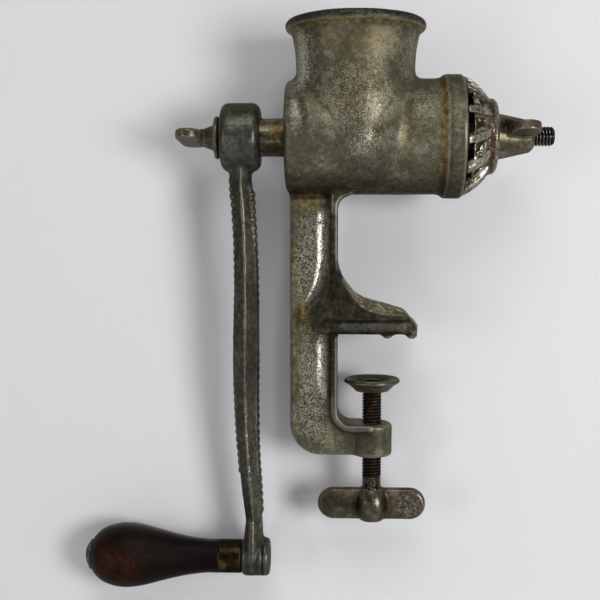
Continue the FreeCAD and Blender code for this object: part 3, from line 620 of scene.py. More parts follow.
def wearAndShadeOf(obj, spec, marks):
    co, pairs, normals = pointsOf(obj.data), edgesOf(obj.data), normalsOf(obj.data)
    least, (reach, depth) = castSkin["wearPasses"], spec["wear"]
    passes = max(least, int(least * (reach / spec["voxel"]) ** 2))
    bend = bendOf(co, pairs, normals, passes, depth)
    values = {"crease": np.clip(bend, 0.0, 1.0), "edge": np.clip(-bend, 0.0, 1.0)}
    for key in ("patina", "rust", "silver", "soot"):
        values[key] = zoneShare(co, spec.get(key, ()))
    if marks is not None:
        marks(co / mm, normals, values)
    return co, values


def putWearAndShade(obj, co, values):
    spots = pointsOf(obj.data)
    if len(spots) != len(co):
        tree = KDTree(len(co))
        for index, point in enumerate(co):
            tree.insert(point, index)
        tree.balance()
        pick = np.array([tree.find(point)[1] for point in spots])
        values = {key: value[pick] for key, value in values.items()}
    for key, value in values.items():
        layer = obj.data.attributes.new(key, "FLOAT", "POINT")
        layer.data.foreach_set("value", value.astype(np.float32))


def dress(obj, spec):
    obj.data.materials.clear()
    obj.data.materials.append(looks[spec["look"]])
    obj.data.name = obj.name
    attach(obj, spec["body"])
    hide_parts(spec["node"])
    print(obj.name, "made,", len(obj.data.polygons), "faces")


def castPiece(name, spec, extra=None, forms=None, marks=None):
    # a softened copy of the solid, as it comes out of a sand mould and a tin bath
    skin, mesh = castSkin, mergedCopy(spec["node"])
    obj = newPiece(name, mesh if extra is None else joinMeshes(name + "Whole", mesh, extra))
    evenOut(obj, spec["voxel"])
    co, pairs = pointsOf(obj.data), edgesOf(obj.data)
    keep = np.ones(len(co)) - zoneShare(co, spec.get("crisp", ()))
    co = relaxed(co, pairs, spec["passes"], keep[:, None])
    putPoints(obj.data, co)
    if "fillet" in spec:
        strength, passes = spec["fillet"]
        bend = bendOf(co, pairs, normalsOf(obj.data), skin["bendPasses"], skin["bendDepth"])
        share = np.maximum(np.clip(bend, 0.0, 1.0) * strength, zoneShare(co, spec.get("softer", ())))
        share = np.clip(relaxed(share[:, None], pairs, skin["blendPasses"]), 0.0, 1.0) * keep[:, None]
        co = relaxed(co, pairs, passes, share)
        putPoints(obj.data, co)
    if forms is not None:
        co = forms(co, normalsOf(obj.data))
        co = relaxed(co, pairs, spec.get("formPasses", skin["formPasses"]), keep[:, None])
        flowing = np.minimum(zoneShare(co, spec.get("flowing", ())), 1.0)
        co = relaxed(co, pairs, skin["flowPasses"], flowing[:, None])
        putPoints(obj.data, co)
    wave = spec["uneven"] * lattice(co, skin["lumpSize"], skin["lumpSeed"])
    wave = wave + skin["rippleShare"] * spec["uneven"] * lattice(co, skin["rippleSize"], skin["rippleSeed"])
    if "grit" in spec:
        grains = np.random.default_rng(skin["gritSeed"]).normal(size=len(co))
        wave += spec["grit"] * zoneShare(co, spec["gritZone"]) * grains
    co = co + normalsOf(obj.data) * (wave * mm * keep)[:, None]
    putPoints(obj.data, np.clip(co, *cadBox))  # never past the solids' box
    co, values = wearAndShadeOf(obj, spec, marks)
    thinOut(obj, spec.get("triangles", skin["triangles"]))
    putWearAndShade(obj, co, values)
    smoothFaces(obj.data)
    dress(obj, spec)


bodySpec = {
    "node": "body_casting", "body": "body", "slot": "tinned_body", "look": "agedTin",
    "voxel": 0.62, "passes": 4, "fillet": (0.9, 45), "uneven": 0.10, "wear": (1.6, 0.22),
    "triangles": 196000,
    "crisp": (((-40, 0, 96), (7, 14, 14), 1.6), ((0, 0, -55), (7, 7, 14), 1.6)),
    "softer": (
        ((16, 0, 123), (12, 40, 12), 1.3), ((-2, 0, 22), (26, 26, 20), 0.9), ((18, 0, 8), (6, 26, 6), 1.0),
    ),
    # the bowl swells over the barrel, and the cove beside the web widens downwards and runs out into the jaw
    "bowlX": -8.8, "bowlHalves": (23.8, 29.4), "bowlRim": -0.5, "bowlSoft": 4.0,
    "coveX": -30.5, "coveEnd": -20.6, "coveShift": 7.6, "coveEndShift": 7.0, "coveY": 4.6, "coveLastX": -17.6,
    "webHalf": 5.0, "coveRoot": 5.4, "coveArc": 0.9, "coveArcRise": 0.564, "columnHalf": 11.0, "jawZ": 4.0,
    "flowing": (((-27, -14, 16), (18, 15, 22), 1.5), ((-27, 14, 16), (18, 15, 22), 1.5)),
    # the gusset: its half width and the line of its back, which is crowned and gritty
    "gussetHalf": 18.5, "gussetTaper": 7.5, "gussetFoot": 7.6, "gussetRise": 27.4,
    "gussetX": (-17.3, -15.0, -11.0, -4.0, 16.5, 19.6), "gussetZ": (35.0, 28.0, 21.5, 16.2, 10.4, 5.6),
    "grit": 0.11, "gritZone": (((2, 0, 14), (22, 17, 8), 1.4),),
    "forms": {
        "flare": (1.0, ("z", 93.0, 124.0)),
        "softer": (6.0, ("z", axisZ, 82.0)),
        "bowl": (1.0, ("z", 126.0, 112.0), ("z", 72.0, 98.0)),
        "skin": (1.5, ("radial", 25.8, 27.2), ("aside", 8.0, 14.0), ("outwards", 0.2, 0.6)),
        "coveWide": (1.0, ("z", 31.0, 6.0)),
        "coveStop": (1.0, ("z", 2.5, 6.5)),
        "cove": (1.0, ("z", -36.0, -26.0), ("z", 64.0, 58.0)),
        "crown": (
            -2.6, ("x", -12.0, -5.0), ("x", 20.5, 17.5), ("z", 34.0, 30.0), ("overSide", -10.0, 0.0),
            ("overBack", -5.0, 0.0), ("z", 8.0, 10.5),
        ),
        "bar": (
            1.3, ("x", -28.0, -24.0), ("x", 23.0, 22.0), ("z", 1.0, 5.6), ("aside", 16.8, 19.2),
            ("z", 9.5, 6.5),
        ),
    },
    # the jaw's edge bar is round, and the nubs are blunt: (x, y, z), radius
    "barR": 3.4, "barBox": (-26.1, 18.6, 18.6), "barZ": (-0.2, 7.6), "barFirstX": -31.0,
    "nubs": (((18.6, 17, 0.7), 3.2), ((18.6, -17, 0.7), 3.2), ((6.9, 17, 0.8), 3.2), ((6.9, -17, 0.8), 3.2)),
    "nubDetail": 3,
    "patina": (
        ((-9, -30, 116), (26, 16, 26), 0.5), ((-8.8, 0, 147.2), (60, 60, 2.6), 1.0),
        ((33.2, 0, 96), (5.4, 60, 60), 0.8), ((-33, -5, 64), (10, 8, 9), 0.85),
        ((-34, -8, 9), (7, 9, 9), 0.9), ((-38.4, -5, 15), (4.2, 12, 70), 0.4),
        ((-16, 0, 60), (3.5, 14, 40), 0.5), ((-20, -10, -52), (10, 10, 8), 0.5),
        ((16, -22, 100), (12, 14, 26), 0.35), ((-8.8, -20, 138), (40, 34, 12), 0.5),
    ),
    "rust": (
        ((33.0, 0, 76), (3.4, 40, 26), 1.1), ((32.8, 0, 121), (3.4, 40, 12), 1.05),
        ((-37.4, -5, 7), (4.0, 8, 11), 0.9), ((-37, -5, -30), (3, 8, 9), 0.7),
        ((18, -16, 118), (8, 12, 8), 0.45), ((-33, -5, 66), (8, 6, 4), 0.4),
        ((-27, -6, -48), (8, 8, 8), 0.35),
    ),
    # bright zones: a painted highlight on the bowl's front, painted sheen on the barrel's and hopper's left
    # side, painted glints over the letters' place, worn tin with painted glints on the column's web; the
    # bowl's right, the hopper's right and the lower arm are brighter too
    "silver": (
        ((-31, -6, 30), (10, 8, 46), 1.0), ((-30, -6, -30), (10, 8, 34), 1.0),
        ((-4, -30, 92), (12, 12, 10), 0.6), ((-36, -22, 110), (9, 16, 22), 0.3),
        ((24, -22, 108), (10, 14, 16), 0.3), ((-9, -30, 112), (24, 16, 22), 0.45),
        ((-34, -14, 130), (9, 22, 24), 1.15), ((17, -14, 132), (7, 22, 20), 0.4),
        ((-28, -8, -50), (14, 8, 10), 0.5),
    ),
    # dark zones: painted shade over the ring's left edge, the barrel's front below the axis, the flange's
    # front and the lower arm's inner corner; the band right of the ring and the lower arm's boss are darker
    # too
    "soot": (
        ((36.2, 0, 96), (1.3, 60, 60), 0.7), ((41, 0, 96), (5, 60, 60), 0.36),
        ((-4, -26, 80), (16, 14, 9), 0.35), ((0, -11, -55), (13, 9, 12), 0.5),
        ((-14, -9, -46), (9, 9, 6), 0.6), ((-18.6, -11, 40), (4.0, 4.0, 36), 0.9),
        ((-18.6, -11, -24), (4.0, 4.0, 26), 0.7), ((-16, -11, -42), (6, 4.5, 8), 0.8),
    ),
    # dark jaw sides, bar and rim, painted shade under the barrel and along the web's, flanges' and rear's
    # edges; the gusset's back is dull gold with painted glints as pale flecks, painted shade at its far side
    # and front end, and dark pits: size and seed
    "flecks": (1.1, 21), "pits": (1.5, 23), "armCorner": (-12.9, -42.2),
    "marks": {
        "jaw": (1.0, ("x", -29.0, -23.0), ("z", -1.5, 0.0), ("z", 34.0, 26.0)),
        "jawSide": (1.0, ("sideways", 0.45, 0.75), ("aside", 10.0, 12.0)),
        "jawFlat": (0.1, ("z", 5.0, 8.0)),
        "bar": (0.88, ("aside", 16.5, 18.5)),
        "bead": (1.0, ("z", 147.8, 148.8)),
        "belly": (0.75, ("z", 82.0, 68.0), ("z", 64.0, 65.0), ("radial", 26.0, 27.0), ("radial", 31.5, 30.7)),
        "back": (
            1.0, ("up", 0.35, 0.6), ("x", -17.5, -14.0), ("x", 20.0, 16.0), ("z", 8.5, 9.5),
            ("overBack", 3.0, 2.0), ("aside", 19.0, 17.0),
        ),
        "fleck": (1.0, ("fleck", 0.05, 0.35), ("y", 9.0, 3.0)),
        "pit": (0.55, ("pit", 0.2, 0.5)),
        "farSide": (0.75, ("y", 4.0, 11.0)),
        "frontEnd": (0.6, ("x", 14.0, 17.0)),
        "column": (1.0, ("z", -40.0, -30.0), ("z", 62.0, 56.0)),
        "cove": (1.0, ("aside", 4.9, 5.6), ("aside", 9.5, 7.0), ("x", -21.0, -23.0)),
        "glintAbove": (0.9, ("z", 8.0, 24.0)),
        "glintBelow": (0.9, ("z", -4.0, -8.0)),
        "web": (0.85, ("x", -39.6, -40.2), ("z", 68.0, 66.0)),
        "flange": (0.95, ("x", -22.0, -20.5), ("x", -15.0, -15.5)),
        "rear": (0.9, ("x", -42.3, -42.8)),
        # the flange's painted shade goes on round the inner corner of the lower arm
        "corner": (
            0.8, ("corner", 4.6, 5.4), ("corner", 8.6, 7.8), ("sideways", 0.4, 0.8), ("aside", 6.5, 7.5),
            ("z", -26.0, -32.0), ("x", -1.0, -4.0),
        ),
    },
    # the back's edge, glint and fleck values and the cove's streak are painted highlights; the dull values
    # take worn edges off where shade is painted and on the jaw and rim
    "jawSoot": 0.82, "beadSoot": 0.88, "backEdge": 0.5, "backSilver": 0.35, "fleckSilver": 1.15,
    "coveSilver": 0.6, "dullEdges": 0.15, "dullJaw": 0.32, "dullBead": 0.25, "dullRear": 0.7,
}


def gussetTop(x):
    return np.interp(x, bodySpec["gussetX"], bodySpec["gussetZ"])


def bodyForms(co, normals):
    spec = bodySpec
    x, y, z = (co / mm).T
    aside, up, radial = np.abs(y), z - axisZ, np.hypot(y, z - axisZ)
    side = np.clip((z - spec["gussetFoot"]) / spec["gussetRise"], 0.0, 1.0)
    side = spec["gussetHalf"] - spec["gussetTaper"] * side
    outwards = (normals[:, 1] * y + normals[:, 2] * up) / np.maximum(radial, 1.0)
    fields = {"x": x, "z": z, "aside": aside, "radial": radial, "outwards": outwards}
    fields.update({"overSide": aside - side, "overBack": z - gussetTop(x)})
    form = sharesOf(fields, spec["forms"])
    narrow, wide = spec["bowlHalves"]
    room = narrow + (wide - narrow) * form["flare"] - np.abs(x - spec["bowlX"])
    push = ease(room, spec["bowlRim"], spec["bowlSoft"] + form["softer"]) * form["bowl"] * form["skin"]
    co = co + normals * (push * mm)[:, None]
    low = form["coveWide"] ** 2 * form["coveStop"]
    foot, end = spec["coveX"] - spec["coveShift"] * low, spec["coveEnd"] - spec["coveEndShift"] * low
    rise = np.where(z > spec["jawZ"], side, spec["columnHalf"]) - spec["coveRoot"]
    turn = np.clip((x - foot) / (end - foot), 0.0, 1.0)
    arc = 1.0 - np.sqrt(1.0 - (spec["coveArc"] * turn) ** 2)
    cove = spec["webHalf"] + rise * arc / spec["coveArcRise"]
    here = (aside > spec["coveY"]) & (aside < cove) & (x < spec["coveLastX"]) & (turn > 0.0)
    co[:, 1] += np.sign(y) * np.where(here, form["cove"], 0.0) * (cove - aside) * mm
    co[:, 2] += (form["crown"] + form["bar"]) * mm
    x, y, z = (co / mm).T
    radius, (left, right, half), (under, over) = spec["barR"], spec["barBox"], spec["barZ"]
    core = np.stack([np.clip(x, left, right), np.clip(y, -half, half), np.full(len(x), radius)], 1)
    away = co / mm - core
    reach = np.sqrt((away ** 2).sum(1))
    bar = (z < over) & (z > under) & (x > spec["barFirstX"])
    bar &= ((np.abs(y) > half) | (x > right)) & (reach > radius)
    co[bar] = (core[bar] + away[bar] * (radius / reach[bar])[:, None]) * mm
    return co


def balls(name, items, detail):
    build = bmesh.new()
    for place, radius in items:
        spot = Matrix.Translation(Vector(place) * mm)
        bmesh.ops.create_icosphere(build, subdivisions=detail, radius=radius * mm, matrix=spot)
    return meshFrom(build, name)


def bodyMarks(at, normals, values):
    spec = bodySpec
    x, y, z = at.T
    cornerX, cornerZ = spec["armCorner"]
    mark = sharesOf({
        "x": x, "y": y, "z": z, "aside": np.abs(y), "sideways": np.abs(normals[:, 1]), "up": normals[:, 2],
        "radial": np.hypot(y, z - axisZ), "overBack": z - gussetTop(x),
        "corner": np.hypot(np.minimum(x - cornerX, 0.0), np.minimum(z - cornerZ, 0.0)),
        "fleck": lattice(at * mm, *spec["flecks"]), "pit": lattice(at * mm, *spec["pits"]),
    }, spec["marks"])
    jaw, bead, back, fleck, rear = (mark[key] for key in ("jaw", "bead", "back", "fleck", "rear"))
    # the jaw and the rim darker, and painted shade under the barrel's belly
    atLeast(values, "soot", jaw * mark["jawSide"] * (spec["jawSoot"] + mark["jawFlat"]))
    atLeast(values, "soot", jaw * mark["bar"])
    atLeast(values, "soot", np.maximum(spec["beadSoot"] * bead, mark["belly"]))
    # the gusset's back: a dull gold stain, with worn edges and pale flecks as painted glints
    atLeast(values, "patina", back)
    atLeast(values, "edge", spec["backEdge"] * back)
    values["silver"] *= 1.0 - back
    atLeast(values, "silver", back * (spec["backSilver"] + spec["fleckSilver"] * fleck))
    # painted shade at the back's far side and front end, and dark pits
    shade = np.maximum(np.maximum(mark["farSide"], mark["frontEnd"]), mark["pit"] * (1.0 - fleck))
    values["soot"] = values["soot"] * (1.0 - back) + back * shade
    # a pale painted highlight streak down the cove, where the silver also lowers the roughness
    glint = np.maximum(mark["glintAbove"], mark["glintBelow"])
    atLeast(values, "silver", (spec["coveSilver"] + glint) * mark["cove"] * mark["column"])
    # painted shade along the web's left edge, the flange's front, the arm's inner corner and the barrel's
    # rear, where worn edges are dulled
    edges = np.maximum(np.maximum(mark["web"], mark["flange"] * mark["column"]), mark["corner"])
    atLeast(values, "soot", np.maximum(edges, rear))
    dull = spec["dullEdges"] * edges + spec["dullJaw"] * jaw * (1.0 - back)
    dull += spec["dullBead"] * bead + spec["dullRear"] * rear
    values["edge"] *= 1.0 - np.clip(dull, 0.0, 1.0)


nubs = balls("nubs", bodySpec["nubs"], bodySpec["nubDetail"])
castPiece("bodyCasting", bodySpec, nubs, bodyForms, bodyMarks)


def newGeometryTree(name, sizes):
    tree = bpy.data.node_groups.new(name, "GeometryNodeTree")
    tree.interface.new_socket("Geometry", in_out="INPUT", socket_type="NodeSocketGeometry")
    for key, kind in sizes.items():
        tree.interface.new_socket(key, in_out="INPUT", socket_type="NodeSocket" + kind)
    tree.interface.new_socket("Geometry", in_out="OUTPUT", socket_type="NodeSocketGeometry")
    return tree, tree.nodes.new("NodeGroupInput").outputs, tree.nodes.new("NodeGroupOutput").inputs


def closeTree(tree, geometry, material, end):
    real = addStep(tree, "GeometryNodeRealizeInstances", {0: geometry})[0]
    feed(tree, addStep(tree, "GeometryNodeSetMaterial", {"Geometry": real, "Material": material})[0], end[0])


def grown(name, mesh, tree, values):
    # the mesh that a tree makes of these values
    obj = newPiece(name, mesh)
    step = obj.modifiers.new("grow", "NODES")
    step.node_group = tree
    for item in tree.interface.items_tree:
        if item.in_out == "INPUT" and item.name in values:
            step[item.identifier] = values[item.name]
    settle(obj)
    mesh = obj.data
    bpy.data.objects.remove(obj)
    return mesh


beadDetail = {"Segments": 10, "Rings": 6, "Radius": 1.0}


def beadTree():
    # a row of small cushions along a line
    sizes = {"Pitch": "Float", "Height": "Float", "Length": "Float", "Material": "Material"}
    tree, start, end = newGeometryTree("edgeBeads", sizes)

    def lineValue(name):
        return addStep(tree, "GeometryNodeInputNamedAttribute", {"Name": name})["Attribute"]

    line = addStep(tree, "GeometryNodeMeshToCurve", {0: start["Geometry"]})[0]
    spots = {"Curve": line, "Length": start["Pitch"]}
    tangent = addStep(tree, "GeometryNodeInputTangent", {})[0]
    height = addMath(tree, "MULTIPLY", start["Height"], lineValue("rise"))
    size = {0: height, 1: lineValue("depth"), 2: start["Length"]}
    beads = addStep(tree, "GeometryNodeInstanceOnPoints", {
        "Points": addStep(tree, "GeometryNodeResampleCurve", spots, mode="LENGTH")[0],
        "Instance": addStep(tree, "GeometryNodeMeshUVSphere", beadDetail)["Mesh"],
        "Rotation": addStep(tree, "FunctionNodeAlignRotationToVector", {"Vector": tangent}, axis="Z")[0],
        "Scale": addStep(tree, "ShaderNodeCombineXYZ", size)[0],
    })[0]
    closeTree(tree, beads, start["Material"], end)
    return tree


threadDetail = {"sides": 48, "stepsPerTurn": 10, "grooveSlope": 1.8}


def threadTree():
    # a rod whose skin follows a helix: its radius less a V groove, with both ends tapered
    sizes = {key: "Float" for key in ("Radius", "Pitch", "Depth", "Length", "Taper")}
    sizes.update({"Steps": "Int", "Place": "Vector", "Turn": "Vector", "Material": "Material"})
    tree, start, end = newGeometryTree("threadedRod", sizes)

    def calc(operation, first, second=0.0, clamp=False):
        return addMath(tree, operation, first, second, clamp)

    rod = {"Side Segments": start["Steps"], "Radius": start["Radius"], "Depth": start["Length"]}
    rod = addStep(tree, "GeometryNodeMeshCylinder", {"Vertices": threadDetail["sides"], **rod})["Mesh"]
    place = addStep(tree, "GeometryNodeInputPosition", {})[0]
    x, y, z = addStep(tree, "ShaderNodeSeparateXYZ", {0: place})
    angle = calc("DIVIDE", calc("ARCTAN2", y, x), math.tau)
    phase = calc("FRACT", calc("SUBTRACT", calc("DIVIDE", z, start["Pitch"]), angle))
    ridge = calc("ABSOLUTE", calc("SUBTRACT", calc("MULTIPLY", phase, 2.0), 1.0))
    groove = calc("SUBTRACT", 1.0, calc("MULTIPLY", ridge, threadDetail["grooveSlope"]), True)
    toEnd = calc("SUBTRACT", calc("MULTIPLY", start["Length"], 0.5), calc("ABSOLUTE", z))
    taper = calc("MAXIMUM", calc("SUBTRACT", start["Taper"], toEnd), 0.0)
    cut = calc("MAXIMUM", calc("MULTIPLY", groove, start["Depth"]), taper)
    share = calc("SUBTRACT", 1.0, calc("DIVIDE", cut, start["Radius"]))
    skin = {0: calc("MULTIPLY", x, share), 1: calc("MULTIPLY", y, share), 2: z}
    skin = addStep(tree, "ShaderNodeCombineXYZ", skin)[0]
    shape = addStep(tree, "GeometryNodeSetPosition", {"Geometry": rod, "Position": skin})[0]
    move = {"Geometry": shape, "Translation": start["Place"], "Rotation": start["Turn"]}
    closeTree(tree, addStep(tree, "GeometryNodeTransform", move)[0], start["Material"], end)
    return tree


beadRows = beadTree()
screwRods = threadTree()


def threadedRod(spec, turn, place):
    length = spec["high"] - spec["low"]
    values = {key: spec[key.lower()] * mm for key in ("Radius", "Pitch", "Depth", "Taper")}
    values["Length"] = length * mm
    values["Steps"] = int(length / spec["pitch"] * threadDetail["stepsPerTurn"])
    values["Turn"] = turn
    values["Place"] = [c * mm for c in place]
    values["Material"] = looks[spec["look"]]
    return grown("rod", bpy.data.meshes.new("rod"), screwRods, values)


def turned(name, profile, segments=64):
    # closed lathe work about Z: (radius, z) pairs in mm from one pole to the other
    build = bmesh.new()
    angles = [math.tau * step / segments for step in range(segments)]
    circle = [(math.cos(angle), math.sin(angle)) for angle in angles]
    rings = []
    for radius, z in profile:
        spots = circle if radius else [(0.0, 0.0)]
        rings.append([build.verts.new((radius * mm * a, radius * mm * b, z * mm)) for a, b in spots])
    for low, high in zip(rings, rings[1:]):
        for step in range(segments):
            after = (step + 1) % segments
            corners = [low[step % len(low)], low[after % len(low)]]
            corners += [high[after % len(high)], high[step % len(high)]]
            build.faces.new(list(dict.fromkeys(corners)))
    bmesh.ops.recalc_face_normals(build, faces=build.faces)
    return meshFrom(build, name)


crankSpec = {
    "node": "crank_arm", "body": "crank", "slot": "crank_iron", "look": "crankIron",
    "voxel": 0.45, "passes": 2, "fillet": (0.0, 40), "uneven": 0.06, "wear": (1.1, 0.14),
    "triangles": 180000, "formPasses": 0,
    "softer": (((-65.5, 0, 78), (16, 16, 8), 1.3), ((-59, 0, -106), (9, 12, 6), 1.0)),
    "crisp": (((-65.5, 0, 96), (14, 12, 12), 1.6), ((-58, 0, -116.5), (9, 6.5, 6.5), 1.6)),
    # the cast beads: side, highest and lowest point of each row, and how high they rise along the arm
    "beadRows": ((-1, 74.5, -5.4), (-1, -15.5, -73.4), (1, 68.0, 13.0), (1, -12.0, -94.0)),
    "beadPitch": 3.9, "beadHeight": 1.6, "beadLength": 2.1, "beadSink": 0.1, "beadStep": 2.0,
    "riseHeights": (-94.0, -73.0, -40.0, -15.0, 20.0, 70.0), "rises": (0.85, 0.85, 0.55, 0.4, 0.5, 1.0),
    "flatHeights": (-98.0, -75.5, -36.5, 24.0, 83.0), "flatHalves": (3.1, 3.7, 4.7, 5.7, 6.5),
    "flatInset": 0.3, "middleX": -62.0, "rayReach": 40.0,
    # the slightly wider edges along the arm
    "swellHeights": (-95.0, -84.0, -40.0, 0.0, 20.0, 50.0, 68.0, 76.0),
    "swells": (0.0, 0.5, 0.4, 0.05, 0.1, 0.75, 0.75, 0.0),
    # the arm's foot in front of the boss, (half width, z) about its own axis, and the groove beside it
    "foot": ((0, -126.0), (3.2, -124.6), (4.6, -121), (5.0, -116.5), (4.5, -106), (3.4, -97), (0, -90)),
    "footX": -60.4, "footStretch": 2.12, "footSides": 32, "grooveX": -55.0,
    "forms": {
        "groove": (0.6, ("offGroove", 0.9, 0.2), ("z", -107.0, -110.0), ("aside", 3.0, 6.0)),
        "edge": (1.0, ("sideways", 0.5, 0.9)),
    },
    # painted shade and an olive-brown tint on the flank facing +x, heaviest in the middle, painted highlights
    # on the ridge and the lower flank, and painted shade in the groove
    "flankSoot": 0.08, "flankPatina": 0.4,
    "marks": {
        "flank": (1.0, ("facing", 0.1, 0.4), ("z", 80.0, 74.0), ("z", -104.0, -96.0)),
        "middle": (0.65, ("offMiddle", 45.0, 15.0)),
        "ridge": (1.4, ("front", 0.4, 0.8), ("z", -22.0, -42.0), ("z", -84.0, -70.0)),
        "foot": (0.5, ("z", -52.0, -77.0)),
        "groove": (0.9, ("offGroove", 0.9, 0.3), ("z", -107.0, -110.0)),
    },
    "soot": (((-58, 0, -117), (12, 16, 12), 0.3),),
    "patina": (((-61, -6, -100), (10, 10, 16), 0.5),),
}


def beadLines():
    spec = crankSpec
    arm = mergedCopy(spec["node"])
    skin = BVHTree.FromPolygons([v.co for v in arm.vertices], [list(f.vertices) for f in arm.polygons])
    points, links, depths, rises = [], [], [], []
    for side, top, foot in spec["beadRows"]:
        row = len(points)
        for height in np.arange(top, foot, -spec["beadStep"]):
            start = Vector((spec["middleX"] + side * spec["rayReach"], 0.0, height)) * mm
            hit = skin.ray_cast(start, Vector((-side, 0.0, 0.0)))[0]
            points.append(hit - Vector((side * spec["beadSink"] * mm, 0.0, 0.0)))
            half = np.interp(height, spec["flatHeights"], spec["flatHalves"])
            depths.append((half - spec["flatInset"]) * mm)
            rises.append(np.interp(height, spec["riseHeights"], spec["rises"]))
        links += [(step, step + 1) for step in range(row, len(points) - 1)]
    mesh = bpy.data.meshes.new("beadLines")
    mesh.from_pydata(points, links, [])
    for key, values in (("depth", depths), ("rise", rises)):
        mesh.attributes.new(key, "FLOAT", "POINT").data.foreach_set("value", values)
    return mesh


def crankForms(co, normals):
    spec = crankSpec
    x, y, z = (co / mm).T
    across = normals[:, 0]
    fields = {"z": z, "aside": np.abs(y), "sideways": np.abs(across)}
    fields["offGroove"] = np.abs(x - spec["grooveX"])
    form = sharesOf(fields, spec["forms"])
    wider = np.interp(z, spec["swellHeights"], spec["swells"]) * np.sign(across) * form["edge"]
    co = co + np.outer(wider * mm, (1.0, 0.0, 0.0))
    return co - normals * (form["groove"] * mm)[:, None]


def crankMarks(at, normals, values):
    spec = crankSpec
    x, _, z = at.T
    fields = {"z": z, "offMiddle": np.abs(z), "offGroove": np.abs(x - spec["grooveX"])}
    fields.update({"facing": normals[:, 0], "front": -normals[:, 1]})
    mark = sharesOf(fields, spec["marks"])
    flank = mark["flank"]
    # painted shade and tint on the flank facing +x, and painted shade in the groove
    atLeast(values, "soot", (spec["flankSoot"] + mark["middle"]) * flank)
    atLeast(values, "soot", mark["groove"])
    atLeast(values, "patina", spec["flankPatina"] * flank)
    # painted highlights along the ridge and on the lower flank
    atLeast(values, "silver", np.maximum(mark["ridge"] * values["edge"], mark["foot"] * flank))


def crankExtras():
    spec = crankSpec
    values = {key: spec["bead" + key] * mm for key in ("Pitch", "Height", "Length")}
    values["Material"] = looks[spec["look"]]
    beads = grown("beads", beadLines(), beadRows, values)
    foot = turned("foot", spec["foot"], spec["footSides"])
    stretch = Matrix.Diagonal((1.0, spec["footStretch"], 1.0, 1.0))
    foot.transform(Matrix.Translation((spec["footX"] * mm, 0.0, 0.0)) @ stretch)
    return joinMeshes("crankExtras", beads, foot)


castPiece("crankCasting", crankSpec, crankExtras(), crankForms, crankMarks)

cutterSpec = {
    "node": "cutter", "body": "cutter", "slot": "cutter_steel", "look": "cutterTin",
    "voxel": 0.42, "passes": 2, "fillet": (0.5, 8), "uneven": 0.06, "wear": (1.0, 0.2),
    "crisp": (((50, 0, 96), (14, 8.6, 8.6), 1.4),),
    "rust": (((56.6, 0, 96), (3.0, 60, 60), 1.0),),
    # leaf hollows between the ribs: the ribs' lines at the axis and at the rim, half a rib, depth and reach
    "teeth": 12, "ribInner": 9.02, "ribOuter": -4.51, "ribFar": 30.3, "ribHalf": 1.9, "ribSteps": 200,
    "leafEdge": 0.1, "leafFull": 0.75, "leafLeast": 0.5, "dome": (40.0, 0.0, axisZ), "domeR": 20.0,
    "forms": {"leaf": (1.3, ("outwards", 0.15, 0.4), ("x", 45.0, 46.5))},
    "ends": {"leaf": (1.0, ("radius", 18.6, 21.6), ("radius", 28.6, 25.6))},
    # rust and painted shade in the hollows, painted shade in the creases, painted glints as bright flecks,
    # and pale ribs
    "marks": {"hollow": (1.0, ("leaf", 0.05, 0.6)), "fleck": (1.0, ("fleck", 0.3, 0.6))}, "flecks": (1.7, 11),
    "hollowRust": 1.25, "hollowSoot": 0.4, "creaseSoot": 0.85, "ribSilver": 0.45, "fleckSilver": 1.5,
}


def leafShare(at):
    spec = cutterSpec
    y, z = at[:, 1], at[:, 2] - axisZ
    line = np.linspace(0.0, 1.0, spec["ribSteps"])
    across, outwards = spec["ribInner"] + (spec["ribOuter"] - spec["ribInner"]) * line, spec["ribFar"] * line
    reach = np.hypot(across, outwards)
    order = np.argsort(reach)
    radius = np.hypot(y, z)
    middle = np.interp(radius, reach[order], np.arctan2(outwards, across)[order])
    step = math.tau / spec["teeth"]
    away = np.abs((np.arctan2(z, y) - middle + step / 2) % step - step / 2) * radius
    room = radius * step / 2 - spec["ribHalf"]
    full = np.maximum(room * spec["leafFull"], spec["leafLeast"])
    side = ease(away - spec["ribHalf"], spec["leafEdge"], full)
    return side, sharesOf({"radius": radius}, spec["ends"])["leaf"]


def cutterForms(co, normals):
    spec = cutterSpec
    at = co / mm
    side, ends = leafShare(at)
    outwards = (normals * (at - spec["dome"])).sum(1) / spec["domeR"]
    form = sharesOf({"x": at[:, 0], "outwards": outwards}, spec["forms"])
    return co - normals * (form["leaf"] * side * ends * mm)[:, None]


def cutterMarks(at, normals, values):
    spec = cutterSpec
    side, ends = leafShare(at)
    mark = sharesOf({"leaf": side * ends, "fleck": lattice(at * mm, *spec["flecks"])}, spec["marks"])
    hollow, fleck = mark["hollow"], mark["fleck"]
    atLeast(values, "rust", spec["hollowRust"] * hollow)
    # painted shade in the hollows and the creases
    atLeast(values, "soot", np.maximum(spec["hollowSoot"] * hollow, spec["creaseSoot"] * values["crease"]))
    # bright flecks, painted glints, clear the rust and shade and pale the hollows
    for key in ("rust", "soot"):
        values[key] *= 1.0 - fleck
    values["silver"] = spec["ribSilver"] * (1.0 - side) * ends
    atLeast(values, "silver", spec["fleckSilver"] * fleck * hollow)


castPiece("rotaryCutter", cutterSpec, forms=cutterForms, marks=cutterMarks)

nutSpec = {
    "node": "wing_nut", "body": "wing_nut", "slot": "tinned_small", "look": "smallTin",
    "voxel": 0.36, "passes": 3, "fillet": (0.95, 60), "uneven": 0.06, "wear": (1.2, 0.2),
    "crisp": (((69, 0, 96), (20, 5.6, 5.6), 1.5),),
    # painted shade in the hollows beside the wing
    "soot": (((65, -8, 101), (7, 8, 4.5), 0.9), ((65, 8, 91), (7, 8, 4.5), 0.9)),
    "patina": (((76, -6, 97), (5, 6, 3), 0.8),),
}
castPiece("wingNut", nutSpec)

